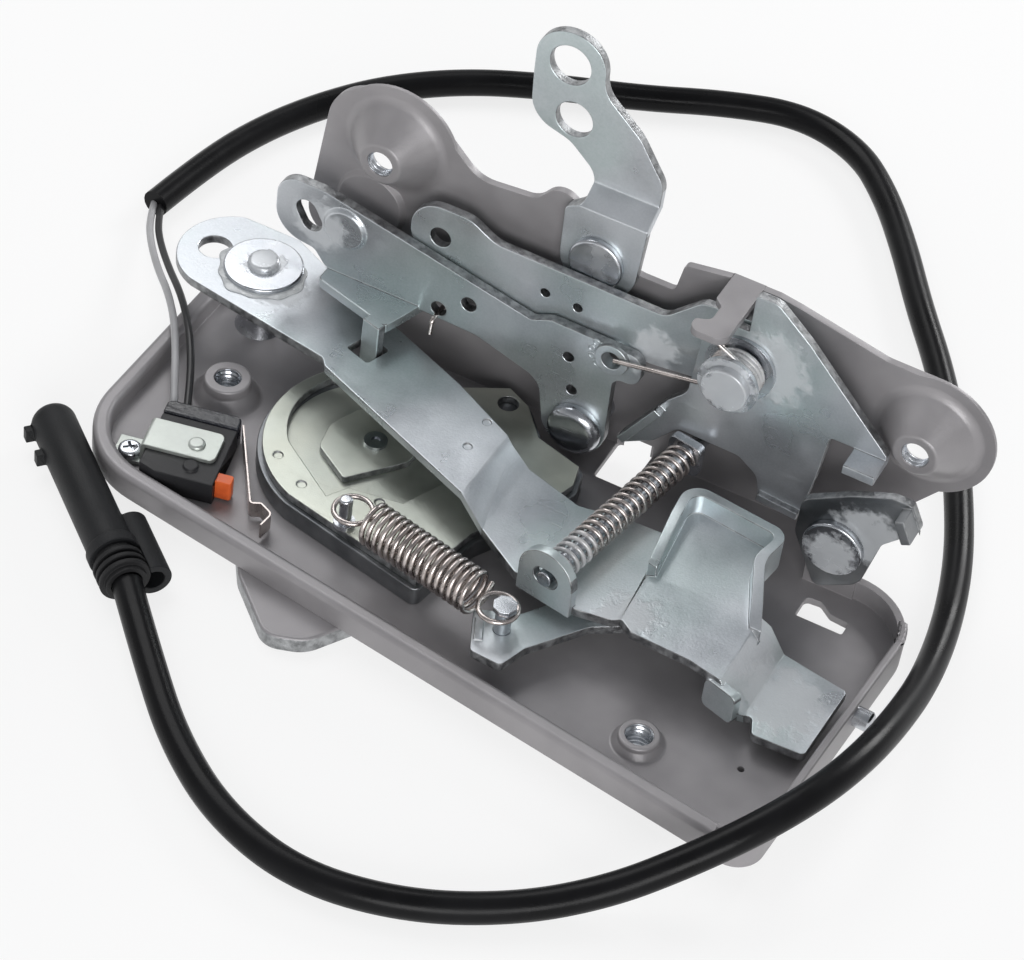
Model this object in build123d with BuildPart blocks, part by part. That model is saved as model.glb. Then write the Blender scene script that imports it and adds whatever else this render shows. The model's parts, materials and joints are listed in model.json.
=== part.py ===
from build123d import *
import os
from math import acos, atan2, cos, degrees, hypot, pi, radians, sin, sqrt, tan

os.makedirs("parts", exist_ok=True)

# Car door lock, in mm.
# X runs along the fold of the base, Y goes from the front rim to the upright wall, Z is up.
# The origin is on the axis of the left floor boss, at the face the lock rests on.

# Sheet gauges
backing_t = 4.5
base_t = 2.0
lever_t = 2.5
bar_t = 2.7
link_t = 2.5
arm_t = 2.5
release_t = 2.5
pawl_t = 2.5

# Clearances
run_gap = 0.05
slide_gap = 0.3
seat_gap = 0.3
weld_ease = 0.03
coil_ease = 0.1

# Base pressing, seen in plan
base_left = -22.8
base_right_front = 172.8
base_right_back = 177.9
base_front_left = -39.3
base_front_right = -69.3
shelf_back = 23.0
shelf_left = 146.0
corner_front_left_r = 24.5
rim_w = 4.5
rim_h = 5.0
rim_end_x = 163.0
end_wall_h = 8.0
shelf_wall_h = 5.5
shelf_step_y = 12.8

# Upright wall
wall_front = 38.0
wall_left = 9.0
wall_foot_right = 147.0

# Threaded bosses, all for the same screw
screw_hole_d = 6.8
floor_boss = (0.0, 0.0)
floor_boss_d = 11.7
floor_boss_h = 5.8
front_boss = (135.6, -47.9)
front_boss_d = 9.8
front_boss_h = 3.0
left_cone = (21.0, 68.8)
right_cone = (163.4, 48.8)
cone_base_d = 25.2
cone_top_d = 10.8
cone_h = 8.5
cone_flare = 4.0
cone_neck = 3.5

# Pivots on the floor
post = (-6.4, 27.0)
post_d = 8.0
post_foot_d = 12.6
post_washer_d = 20.0
post_washer_t = 1.6
post_head_d = 8.4
post_head_h = 1.8
lower_stud = (121.0, 1.0)
lower_stud_d = 7.0
lower_stud_head_d = 10.0

# Pivots on the wall, given in X and Z
bar_pin = (81.0, 16.5)
bar_pin_d = 7.0
bar_pin_head_d = 14.0
arm_pin = (77.0, 61.5)
arm_pin_d = 6.4
arm_pin_head_d = 14.0
plate_pin = (119.0, 55.5)
plate_pin_d = 7.2
plate_pin_head_d = 11.6
pawl_pin = (152.8, 23.7)
pawl_pin_d = 6.8
pawl_pin_head_d = 15.0

# Main lever heights: arm, joggled middle, head, end bar
arm_top = 24.5
middle_top = 19.5
head_top = 21.0
end_top = 12.0
hood_rise = 4.0
hood_rim_top = 30.0

# Lower lever
lower_top = 14.5
lower_t = 2.5

# Latch
latch_h = 5.3
latch_cover_t = 2.2
latch_centre = (42.5, -1.5)
latch_r = 28.5
rotor_r = 23.0
rotor_t = 1.6
stop_t = 2.0

# Springs and the guide rod
rod_start = (100.8, -30.3)
rod_aim = (110.9, 26.7)
rod_z = 25.0
rod_d = 4.0
rod_flange = 9.0
rod_flange_t = 2.5
return_wire = 1.1
return_coil_d = 6.9
return_turns = 21
tension_wire = 1.3
tension_coil_d = 9.8
tension_turns = 17
tension_z = 20.2
tension_from = (57.2, -32.0)
tension_loop_r = 4.6
torsion_wire = 1.2
torsion_coil_d = 12.6
torsion_turns = 3

# Switch
switch_centre = (5.05, -27.5)
switch_turn = 13.0
switch_w = 18.8
switch_l = 19.8
switch_h = 6.4
potting_l = 4.4
potting_h = 7.0

# Cable and connector
cable_d = 7.4
wire_d = 1.9
plug_rear = (13.3, -67.8)
plug_front = (-32.4, -29.4)
plug_d = 11.2

# Worked-out levels
floor_top = backing_t + base_t
rim_top = floor_top + rim_h
end_wall_top = floor_top + end_wall_h
wall_back = wall_front + base_t
bar_front = 27.5
bar_back = bar_front + bar_t
link_front = bar_back + 0.5
link_back = link_front + link_t
arm_front = wall_front - slide_gap - arm_t
release_front = bar_front + 0.2
release_back = release_front + release_t
pawl_back = 20.2
pawl_front = pawl_back - pawl_t
ear_front = pawl_back + seat_gap
latch_top = floor_top + latch_h + latch_cover_t
arm_bottom = arm_top - lever_t


def facing(y):
    """Upright plane at y: sketches are drawn in X and Z and grow toward the front."""
    return Plane.XZ.offset(-y)


def level(z):
    """Level plane at height z."""
    return Plane.XY.offset(z)


def outline(points, radii):
    """Closed outline through the points, each corner rounded by its own radius."""
    FilletPolyline(*points, radius=radii, close=True)


# Base outline in plan, without and with its corner radii
base_points = [
    (base_left, wall_back),
    (base_left, base_front_left),
    (base_right_front, base_front_right),
    (base_right_back, shelf_back),
    (shelf_left, shelf_back),
    (shelf_left, wall_back),
]
base_radii = [9.0, corner_front_left_r, 7.0, 17.0, 2.5, 0.0]

# Wall outline in X and Z
wall_points = [
    (wall_left, backing_t),
    (wall_left, 27.0),
    (-1.5, 38.0),
    (3.6, 82.0),
    (28.6, 82.0),
    (43.0, 68.5),
    (58.5, 70.0),
    (64.0, 77.0),
    (69.5, 73.0),
    (86.0, 60.0),
    (96.2, 60.0),
    (97.6, 68.4),
    (109.3, 70.4),
    (121.5, 70.4),
    (127.0, 69.5),
    (150.0, 64.6),
    (177.8, 64.4),
    (177.6, 44.2),
    (wall_foot_right, backing_t),
]
wall_radii = [0, 5, 8, 13, 13, 9, 6, 5, 5, 6, 1.5, 1.5, 4, 1, 4, 10, 14.5, 11, 0]

hook_left = 109.3
hook_right = 117.4
hook_tip = 16.5
hook_top = 70.5

# The base pressing: floor, hemmed rim, end wall, wall with its cones, pawl ear and hook
with BuildPart() as base_plate:
    with BuildSketch(level(backing_t)):
        with BuildLine():
            outline(base_points, base_radii)
        make_face()
    extrude(amount=base_t)

    # hemmed rim along the left, front and part of the back
    with BuildSketch(level(backing_t)):
        with BuildLine():
            outline(base_points, base_radii)
        make_face()
        offset(amount=-rim_w, kind=Kind.INTERSECTION, mode=Mode.SUBTRACT)
        with Locations(((rim_end_x + 100), 0)):
            Rectangle(200, 400, mode=Mode.SUBTRACT)
        with Locations((wall_left + 100, 40)):
            Rectangle(200, 70, mode=Mode.SUBTRACT)
    extrude(amount=base_t + rim_h)
    rim_edges = base_plate.edges().filter_by(
        lambda e: abs(e.center().Z - rim_top) < 0.01 and e.length > rim_w + 0.5
    )
    fillet(rim_edges, radius=1.6)

    # plain end wall, and the lower wall that runs on round the shelf
    for height, y_from, y_to in (
        (end_wall_h, -200.0, shelf_step_y),
        (shelf_wall_h, shelf_step_y, 200.0),
    ):
        with BuildSketch(level(backing_t)):
            with BuildLine():
                outline(base_points, base_radii)
            make_face()
            offset(amount=-base_t, kind=Kind.INTERSECTION, mode=Mode.SUBTRACT)
            with Locations((rim_end_x - 200, -50)):
                Rectangle(400, 140, mode=Mode.SUBTRACT)
            with Locations((shelf_left - 198, 0)):
                Rectangle(400, 400, mode=Mode.SUBTRACT)
            with Locations((100, (y_from + y_to) / 2)):
                Rectangle(400, y_to - y_from, mode=Mode.INTERSECT)
        extrude(amount=base_t + height)
    shelf_top = base_plate.faces().filter_by(
        lambda f: abs(f.center().Z - end_wall_top) < 0.01
    )
    long_edges = shelf_top.edges().filter_by(lambda e: e.length > 20)
    fillet(long_edges, radius=0.6)

    # upright wall
    with BuildSketch(facing(wall_back)):
        with BuildLine():
            outline(wall_points, wall_radii)
        make_face()
    extrude(amount=base_t)

    # drawn cones that carry the threaded holes, flared into the wall
    for x, z in (left_cone, right_cone):
        with BuildSketch(Plane.XY.offset(z)):
            with BuildLine():
                FilletPolyline(
                    (x + cone_base_d / 2 + cone_flare, wall_front),
                    (x + cone_base_d / 2, wall_front),
                    (x + cone_top_d / 2, wall_front - cone_h),
                    (x, wall_front - cone_h),
                    radius=[cone_flare * 0.9, 1.2],
                )
                Polyline(
                    (x, wall_front - cone_h),
                    (x, wall_front + base_t / 2),
                    (x + cone_base_d / 2 + cone_flare, wall_front + base_t / 2),
                    (x + cone_base_d / 2 + cone_flare, wall_front),
                )
            make_face()
        revolve(axis=Axis((x, 0, z), (0, 1, 0)))
        with Locations(Plane(origin=(x, wall_back, z), z_dir=(0, -1, 0))):
            Cone(
                bottom_radius=cone_base_d / 2 - base_t * 0.4,
                top_radius=screw_hole_d / 2,
                height=base_t + cone_h - cone_neck,
                align=(Align.CENTER, Align.CENTER, Align.MIN),
                mode=Mode.SUBTRACT,
            )
            Cylinder(
                radius=screw_hole_d / 2,
                height=base_t + cone_h + 1,
                align=(Align.CENTER, Align.CENTER, Align.MIN),
                mode=Mode.SUBTRACT,
            )

    # round pad pressed forward behind the locking bar
    with BuildSketch(facing(wall_front)):
        with Locations((16.0, 48.8)):
            Circle(9.5)
    extrude(amount=1.4, taper=35)

    # hook finger bent forward off the raised tab
    with BuildSketch(level(hook_top - base_t)):
        with BuildLine():
            outline(
                [
                    (hook_left, wall_back),
                    (hook_left, 29.5),
                    (hook_left + 2.2, 27.5),
                    (hook_left + 2.2, 22.0),
                    (hook_left - 1.2, 20.5),
                    (hook_left - 1.2, hook_tip),
                    (hook_right, hook_tip),
                    (hook_right, wall_back),
                ],
                [0, 1.2, 1.2, 2.0, 1.0, 2.5, 3.0, 0],
            )
        make_face()
    extrude(amount=base_t)

    # ear that carries the pawl pin, raised from the shelf wall
    with BuildSketch(facing(ear_front + base_t)):
        with Locations((pawl_pin[0], pawl_pin[1])):
            Circle(9.0)
        with Locations((pawl_pin[0], (pawl_pin[1] + backing_t) / 2)):
            Rectangle(13.0, pawl_pin[1] - backing_t)
    extrude(amount=base_t)

    # floor bosses with drawn necks
    for (x, y), d, h in (
        (floor_boss, floor_boss_d, floor_boss_h),
        (front_boss, front_boss_d, front_boss_h),
    ):
        with BuildSketch(Plane.XZ.offset(-y)):
            with BuildLine():
                FilletPolyline(
                    (x + d / 2 + 0.9 * h, floor_top),
                    (x + d / 2 + 0.45 * h, floor_top),
                    (x + d / 2, floor_top + 0.55 * h),
                    (x + d / 2, floor_top + h),
                    (x, floor_top + h),
                    radius=[0.25 * h, 0.2 * h, 0.6],
                )
                Polyline(
                    (x, floor_top + h),
                    (x, floor_top - base_t / 2),
                    (x + d / 2 + 0.9 * h, floor_top - base_t / 2),
                    (x + d / 2 + 0.9 * h, floor_top),
                )
            make_face()
        revolve(axis=Axis((x, y, 0), (0, 0, 1)))
        with BuildSketch(level(backing_t)):
            with Locations((x, y)):
                Circle(screw_hole_d / 2)
        extrude(amount=base_t + h, mode=Mode.SUBTRACT)

    # window across the fold
    with BuildSketch(level(backing_t)):
        with Locations((93.3, (24.5 + wall_back) / 2)):
            RectangleRounded(9.4, wall_back - 24.5, 1.2)
    extrude(amount=base_t + 3.5, mode=Mode.SUBTRACT)

    # stepped slot by the end wall
    with BuildSketch(level(backing_t)):
        with BuildLine():
            outline(
                [
                    (149.7, 8.6),
                    (161.8, 8.6),
                    (161.8, 12.8),
                    (157.0, 13.2),
                    (153.6, 15.8),
                    (149.7, 15.4),
                ],
                [0.6, 0.6, 0.6, 1.5, 1.5, 1.5],
            )
        make_face()
    extrude(amount=base_t, mode=Mode.SUBTRACT)

    # small locating hole
    with BuildSketch(level(backing_t)):
        with Locations((158.9, -42.4)):
            Circle(0.8)
    extrude(amount=base_t, mode=Mode.SUBTRACT)

# Flat backing plate under the pressing, with its two lobes showing past the front rim
with BuildPart() as back_plate:
    with BuildSketch():
        with BuildLine():
            outline(
                [
                    (base_left + 7.0, 16.0),
                    (base_left + 7.0, -30.0),
                    (4.0, -36.0),
                    (26.0, -40.0),
                    (32.4, -49.6),
                    (47.0, -63.0),
                    (56.4, -59.6),
                    (65.0, -45.0),
                    (150.0, -57.0),
                    (158.5, -62.0),
                    (170.0, -59.0),
                    (171.0, -45.0),
                    (144.0, 6.0),
                    (84.0, 20.0),
                ],
                [8, 12, 8, 5, 12, 6, 9, 5, 4, 4, 6, 4, 8, 8],
            )
        make_face()
        with Locations(floor_boss, front_boss):
            Circle(screw_hole_d / 2, mode=Mode.SUBTRACT)
    extrude(amount=backing_t)
    top_rim = back_plate.faces().sort_by(Axis.Z)[-1].outer_wire().edges()
    fillet(top_rim, radius=0.8)

# Fixed post that carries the main lever
with BuildPart() as lever_post:
    with BuildSketch(level(floor_top)):
        with Locations(post):
            Circle(post_foot_d / 2)
    extrude(amount=3.0, taper=20)
    with BuildSketch(level(floor_top)):
        with Locations(post):
            Circle(post_d / 2 + 1.5)
    extrude(amount=arm_bottom - floor_top - seat_gap / 6)
    with BuildSketch(level(floor_top)):
        with Locations(post):
            Circle(post_d / 2)
    extrude(amount=arm_top + seat_gap / 3 + post_washer_t + post_head_h - floor_top)
    fillet(lever_post.edges().sort_by(Axis.Z)[-1], radius=1.0)

with BuildPart() as post_washer:
    with BuildSketch(level(arm_top + seat_gap / 3)):
        with Locations(post):
            Circle(post_washer_d / 2)
            Circle(post_d / 2, mode=Mode.SUBTRACT)
    extrude(amount=post_washer_t)
    fillet(post_washer.edges().filter_by(GeomType.CIRCLE).sort_by(SortBy.RADIUS)[-2:], radius=0.5)

# Window in the main lever that the locking bar's tab reaches through
window_centre = (29.3, 15.8)
window_size = 7.2
window_turn = -19.0

# Plan of the main lever, without its hood
lever_points = [
    (-20.0, 41.7),
    (-4.4, 41.7),
    (13.2, 33.1),
    (32.5, 26.1),
    (53.9, 17.1),
    (73.9, 6.6),
    (80.0, 4.9),
    (94.7, 0.5),
    (109.5, 3.0),
    (118.0, 3.4),
    (118.0, -8.0),
    (147.0, -10.5),
    (149.5, -8.9),
    (171.4, -12.6),
    (170.6, -35.8),
    (157.8, -36.4),
    (155.4, -30.5),
    (152.6, -34.6),
    (138.8, -31.6),
    (123.7, -31.1),
    (119.7, -28.4),
    (109.2, -30.2),
    (91.8, -27.1),
    (79.3, -19.0),
    (71.8, -15.8),
    (23.6, 4.6),
    (21.5, 7.0),
    (-19.5, 14.0),
]

# Side view of the main lever along X: top line, then the same line one gauge lower
lever_steps = [
    (-60.0, arm_top),
    (71.5, arm_top),
    (79.5, middle_top),
    (117.8, middle_top),
    (120.6, head_top),
    (147.2, head_top),
    (154.2, end_top),
    (200.0, end_top),
]

# Hood: plan outline, wall ends and the waist in its right wall
hood_points = [
    (118.4, -12.0),
    (116.6, 12.6),
    (144.6, 9.4),
    (142.6, -1.0),
    (149.2, -15.5),
    (146.6, -15.5),
]
hood_inner = [
    (121.2, -16.0),
    (119.3, 9.8),
    (141.8, 7.2),
    (139.8, -1.2),
    (146.4, -16.0),
]

with BuildPart() as hood_pocket:
    with BuildSketch(level(head_top - 6)):
        with BuildLine():
            outline(hood_inner, [0, 3.0, 2.0, 4.0, 0])
        make_face()
    extrude(amount=30)
    with BuildSketch(Plane.YZ.offset(100)):
        with BuildLine():
            Polyline(
                (-30.0, head_top),
                (-11.5, head_top),
                (15.0, head_top + hood_rise),
                (15.0, hood_rim_top + 8),
                (-30.0, hood_rim_top + 8),
                close=True,
            )
        make_face()
    extrude(amount=80, mode=Mode.INTERSECT)

with BuildPart() as hood:
    with BuildSketch(level(head_top - 6)):
        with BuildLine():
            outline(hood_points, [0, 5.0, 4.0, 6.0, 0, 0])
        make_face()
    extrude(amount=30)
    with BuildSketch(Plane.YZ.offset(100)):
        with BuildLine():
            Polyline(
                (-30.0, head_top - lever_t),
                (-11.5, head_top - lever_t),
                (16.0, head_top - lever_t + hood_rise),
                (16.0, hood_rim_top),
                (1.0, hood_rim_top - 0.5),
                (-11.0, head_top + 4.0),
                (-16.5, head_top),
                (-30.0, head_top),
                close=True,
            )
        make_face()
    extrude(amount=80, mode=Mode.INTERSECT)
    add(hood_pocket.part, mode=Mode.SUBTRACT)

# The ear's plane stands square to the guide rod
rod_turn = atan2(rod_aim[1] - rod_start[1], rod_aim[0] - rod_start[0])
rod_along = (cos(rod_turn), sin(rod_turn), 0.0)


def on_rod(s):
    """Point on the guide rod's axis, s mm from the front face of the lever's ear."""
    return (rod_start[0] + s * rod_along[0], rod_start[1] + s * rod_along[1], rod_z)


def across_rod(s):
    """Plane square to the rod at s, its sketch Y up, growing toward the front."""
    return Plane(
        origin=on_rod(s),
        x_dir=(rod_along[1], -rod_along[0], 0),
        z_dir=(-rod_along[0], -rod_along[1], 0),
    )


ear_r = 7.6
ear_eye_w = 6.6
ear_eye_h = 4.8

with BuildPart() as main_lever:
    # plan cut to the stepped side view
    with BuildSketch(level(0)):
        with BuildLine():
            ThreePointArc(lever_points[-1], (-29.6, 26.5), lever_points[0])
            Polyline(*lever_points)
        make_face()
    extrude(amount=40)
    with BuildSketch(facing(80)):
        with BuildLine():
            Polyline(
                *lever_steps,
                *[(x, z - lever_t) for x, z in reversed(lever_steps)],
                close=True,
            )
        make_face()
    extrude(amount=160, mode=Mode.INTERSECT)

    # round off the plan corners at the arm
    arm_corners = main_lever.edges().filter_by(Axis.Z).filter_by(
        lambda e: e.center().X > 150 or 71 < e.center().X < 93
    )
    fillet(arm_corners, radius=1.2)

    # hood with standing walls on three sides
    add(hood.part)

    # down-turned tab at the front of the head
    tab_plane = Plane(origin=(148.4, -33.4, 0), x_dir=(0.955, -0.295, 0), z_dir=(-0.295, -0.955, 0))
    with BuildSketch(tab_plane.offset(-1.2)):
        with Locations((0, head_top - 5.6)):
            RectangleRounded(9.2, 8.6, 1.6)
    extrude(amount=lever_t)

    # upturned ear with the oval eye for the guide rod
    with BuildSketch(across_rod(lever_t)):
        with Locations((0, 0)):
            Circle(ear_r)
        with Locations((0, (middle_top - lever_t - rod_z) / 2)):
            Rectangle(2 * ear_r, rod_z - middle_top + lever_t)
    extrude(amount=lever_t)
    with BuildSketch(across_rod(lever_t + 1)):
        SlotOverall(ear_eye_w, ear_eye_h)
    extrude(amount=lever_t + 2, mode=Mode.SUBTRACT)

    # pivot hole, cable hole and window
    with BuildSketch(level(arm_bottom)):
        with Locations(post):
            Circle(post_d / 2 + run_gap)
        with Locations((-20.6, 27.7)):
            Circle(4.2)
        with Locations(Location((*window_centre, 0), (0, 0, window_turn))):
            RectangleRounded(window_size, window_size, 0.8)
    extrude(amount=lever_t, mode=Mode.SUBTRACT)

    # punched dimples
    with BuildSketch(level(arm_top - 0.5)):
        with Locations((65.5, 8.9), (65.5, -1.0)):
            Circle(1.1)
    extrude(amount=0.5, mode=Mode.SUBTRACT)

# Lower lever, spring peg and stud
lower_points = [
    (87.6, -38.2),
    (93.0, -50.2),
    (101.0, -50.6),
    (103.4, -43.0),
    (113.0, -28.9),
    (126.0, -20.0),
    (129.0, 3.0),
    (119.0, 9.5),
    (112.0, 0.0),
    (108.0, -18.0),
    (97.5, -34.0),
]
peg = (96.2, -40.6)
peg_d = 4.0
peg_head_d = 6.0

with BuildPart() as lower_lever:
    with BuildSketch(level(lower_top - lower_t)):
        with BuildLine():
            outline(lower_points, [1.5, 1.5, 1.5, 3, 3, 8, 7, 7, 6, 8, 3])
        make_face()
        with Locations(lower_stud):
            Circle(lower_stud_d / 2 + run_gap, mode=Mode.SUBTRACT)
        with Locations(peg):
            Circle(peg_d / 2, mode=Mode.SUBTRACT)
    extrude(amount=lower_t)
    tab_side = Plane(
        origin=((87.6 + 93.0) / 2, (-38.2 - 50.2) / 2, lower_top - lower_t),
        x_dir=(0.41, -0.912, 0),
        z_dir=(0.912, 0.41, 0),
    )
    with BuildSketch(tab_side.offset(0.6)):
        with Locations((0, -1.4)):
            Rectangle(7.0, 3.4)
    extrude(amount=2.0)

with BuildPart() as spring_peg:
    with BuildSketch(level(lower_top - lower_t)):
        with Locations(peg):
            Circle(peg_d / 2)
    extrude(amount=tension_z + 2.0 - lower_top + lower_t)
    with BuildSketch(level(tension_z + 1.0)):
        with Locations(peg):
            RegularPolygon(peg_head_d / 2, 8)
    extrude(amount=1.6)

with BuildPart() as lower_lever_stud:
    with BuildSketch(level(floor_top)):
        with Locations(lower_stud):
            Circle(lower_stud_d / 2 + 1.4)
    extrude(amount=lower_top - lower_t - floor_top - seat_gap / 3)
    with BuildSketch(level(floor_top)):
        with Locations(lower_stud):
            Circle(lower_stud_d / 2)
    extrude(amount=lower_top + 0.1 - floor_top)
    with BuildSketch(level(lower_top + 0.1)):
        with Locations(lower_stud):
            Circle(lower_stud_head_d / 2)
    extrude(amount=1.4)

# Latch: thick housing, cover with its crescent, rotor, stop and rivet
latch_points = [
    (50.0, 28.2),
    (60.4, 34.8),
    (68.0, 31.0),
    (75.0, 22.6),
    (88.2, 18.8),
    (90.0, 11.4),
    (88.6, 6.2),
    (77.0, -17.0),
    (73.0, -38.6),
    (33.0, -29.8),
]
latch_arc_mid = (latch_centre[0] - latch_r, latch_centre[1] + 2.0)
latch_arc_top = (22.0, 18.6)
cover_inset = 1.2


def latch_outline():
    """Outline of the latch: a round left end and straight, cornered right side."""
    ThreePointArc(latch_points[-1], latch_arc_mid, latch_arc_top)
    Polyline(latch_arc_top, *latch_points)


with BuildPart() as latch_housing:
    with BuildSketch(level(floor_top)):
        with BuildLine():
            latch_outline()
        make_face()
    extrude(amount=latch_h)
    with BuildSketch(level(floor_top + latch_h)):
        with Locations(latch_centre):
            Circle(rotor_r + run_gap)
    extrude(amount=-rotor_t, mode=Mode.SUBTRACT)
    housing_corners = latch_housing.edges().filter_by(Axis.Z).filter_by(lambda e: e.center().X > 55)
    fillet(housing_corners, radius=2.2)

with BuildPart() as latch_cover:
    with BuildSketch(level(floor_top + latch_h)):
        with BuildLine():
            latch_outline()
        make_face()
        offset(amount=-cover_inset, kind=Kind.INTERSECTION, mode=Mode.REPLACE)
        with Locations((62.6, 28.1)):
            Circle(2.6, mode=Mode.SUBTRACT)
        with BuildLine():
            ThreePointArc((24.6, -13.0), (19.4, -1.2), (22.6, 12.6))
            Polyline(
                (22.6, 12.6),
                (60.0, 14.0),
                (63.0, -4.0),
                (57.5, -16.4),
                (44.0, -19.0),
                (41.0, -24.2),
                (24.6, -13.0),
            )
        make_face(mode=Mode.SUBTRACT)
    extrude(amount=latch_cover_t)
    with BuildSketch(level(latch_top - 0.5)):
        with Locations((24.6, -18.4), (34.2, -24.0), (52.7, -19.2)):
            Circle(1.2)
    extrude(amount=0.5, mode=Mode.SUBTRACT)

with BuildPart() as latch_rotor:
    with BuildSketch(level(floor_top + latch_h - rotor_t)):
        with Locations(latch_centre):
            Circle(rotor_r)
    extrude(amount=rotor_t - run_gap)

stop_base = floor_top + latch_h - run_gap
rivet_place = (41.9, -1.6)
rivet_r = 2.0
with BuildPart() as rotor_stop:
    with BuildSketch(level(stop_base)):
        with BuildLine():
            outline(
                [
                    (41.4, -16.6),
                    (51.8, -3.2),
                    (52.5, 8.0),
                    (34.0, 9.0),
                    (29.6, -2.0),
                    (31.0, -10.0),
                ],
                [1.0, 2.5, 3.0, 5.0, 5.0, 3.0],
            )
        make_face()
        with Locations(rivet_place):
            Circle(rivet_r, mode=Mode.SUBTRACT)
    extrude(amount=stop_t)

rivet_head_t = 0.8
with BuildPart() as rotor_rivet:
    with BuildSketch(level(stop_base)):
        with Locations(rivet_place):
            Circle(rivet_r)
    extrude(amount=stop_t + rivet_head_t)
    with BuildSketch(level(stop_base + stop_t)):
        with Locations(rivet_place):
            Circle(rivet_r + 0.9)
    extrude(amount=rivet_head_t)
    # punch mark left by the riveting tool
    with BuildSketch(level(stop_base + stop_t + rivet_head_t)):
        with Locations(rivet_place):
            Circle(rivet_r - 0.9)
    extrude(amount=-0.4, mode=Mode.SUBTRACT)

# Locking bar, with the flange and tab that reach down through the main lever's window
bar_points = [
    (-4.6, 55.9),
    (8.0, 55.9),
    (65.6, 43.3),
    (70.5, 45.6),
    (95.2, 45.2),
    (95.2, 36.2),
    (88.4, 36.0),
    (88.7, 8.6),
    (72.8, 8.6),
    (69.6, 25.9),
    (52.0, 31.4),
    (10.0, 33.0),
    (6.6, 37.2),
    (-4.6, 38.6),
]
bar_radii = [6.0, 8, 2.5, 3, 3.5, 3.5, 2.5, 8.0, 7.7, 6, 7, 2, 3, 8.5]
tab_w = 5.4
tab_t = 2.4
tab_centre = (29.9, 16.4)
tab_turn = -17.0
tab_bottom = 19.0
flange_top = 33.0
wire_hole = (41.4, 34.8)
wire_hole_r = 2.0
hook_wire_d = 1.2
leg_loop = (87.6, 42.2)
loop_t = 1.3

with BuildPart() as locking_bar:
    with BuildSketch(facing(bar_back)):
        with BuildLine():
            outline(bar_points, bar_radii)
        make_face()
        with Locations(bar_pin):
            Circle(bar_pin_d / 2 + run_gap, mode=Mode.SUBTRACT)
        with Locations(Location((4.6, 46.6, 0), (0, 0, -60))):
            SlotOverall(9.0, 5.6, mode=Mode.SUBTRACT)
        with Locations(wire_hole, (49.1, 39.9)):
            Circle(wire_hole_r, mode=Mode.SUBTRACT)
        with Locations((76.4, 36.8), (78.4, 27.1)):
            Circle(1.4, mode=Mode.SUBTRACT)
        with Locations(leg_loop):
            Circle(2.4, mode=Mode.SUBTRACT)
    extrude(amount=bar_t)

    # pressed dome near the slot
    with BuildSketch(facing(bar_front)):
        with Locations((14.6, 47.2)):
            Circle(6.0)
    extrude(amount=1.0, taper=40)

    # flange bent forward along the lower edge
    with BuildSketch(level(flange_top - bar_t)):
        with BuildLine():
            outline(
                [
                    (10.7, bar_back),
                    (10.7, 23.0),
                    (32.7, 16.6),
                    (34.4, 21.5),
                    (37.0, bar_back),
                ],
                [0, 1.5, 1.0, 3.0, 0],
            )
        make_face()
    extrude(amount=bar_t)

    # tab that drops from the flange through the main lever's window
    with BuildSketch(level(tab_bottom)):
        with Locations(Location((*tab_centre, 0), (0, 0, tab_turn))):
            Rectangle(tab_w, tab_t)
    extrude(amount=flange_top - tab_bottom)

    # staked loop that takes the torsion spring's leg
    with BuildSketch(facing(bar_front)):
        with Locations(leg_loop):
            Circle(4.4)
            Circle(2.4, mode=Mode.SUBTRACT)
    extrude(amount=loop_t)

# Bent wire end that comes out through the bar
wire_rest = wire_hole[1] - wire_hole_r + hook_wire_d / 2 + 0.1
with BuildPart() as bar_wire:
    with BuildLine(Plane.YZ.offset(wire_hole[0])):
        FilletPolyline(
            (bar_back - 0.2, wire_rest),
            (24.6, wire_rest),
            (23.9, wire_rest - 4.0),
            radius=1.4,
        )
    with BuildSketch(facing(bar_back - 0.2)):
        with Locations((wire_hole[0], wire_rest)):
            Circle(hook_wire_d / 2)
    sweep()

# Link bar behind the locking bar
link_points = [
    (30.2, 62.5),
    (45.6, 62.5),
    (52.6, 58.4),
    (97.4, 57.8),
    (106.0, 66.2),
    (119.0, 66.9),
    (130.4, 66.9),
    (130.4, 44.1),
    (112.0, 44.1),
    (96.0, 42.0),
    (66.0, 42.4),
    (44.0, 46.0),
    (30.2, 45.9),
]
with BuildPart() as link_bar:
    with BuildSketch(facing(link_back)):
        with BuildLine():
            outline(link_points, [8, 7, 8, 5, 4, 0.5, 11.2, 11.2, 5, 12, 10, 8, 8])
        make_face()
        with Locations(plate_pin):
            Circle(plate_pin_d / 2 + run_gap, mode=Mode.SUBTRACT)
        with Locations((38.3, 53.6)):
            Circle(2.7, mode=Mode.SUBTRACT)
        with Locations((66.9, 50.1), (75.6, 49.6)):
            Circle(1.2, mode=Mode.SUBTRACT)
    extrude(amount=link_t)

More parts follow.
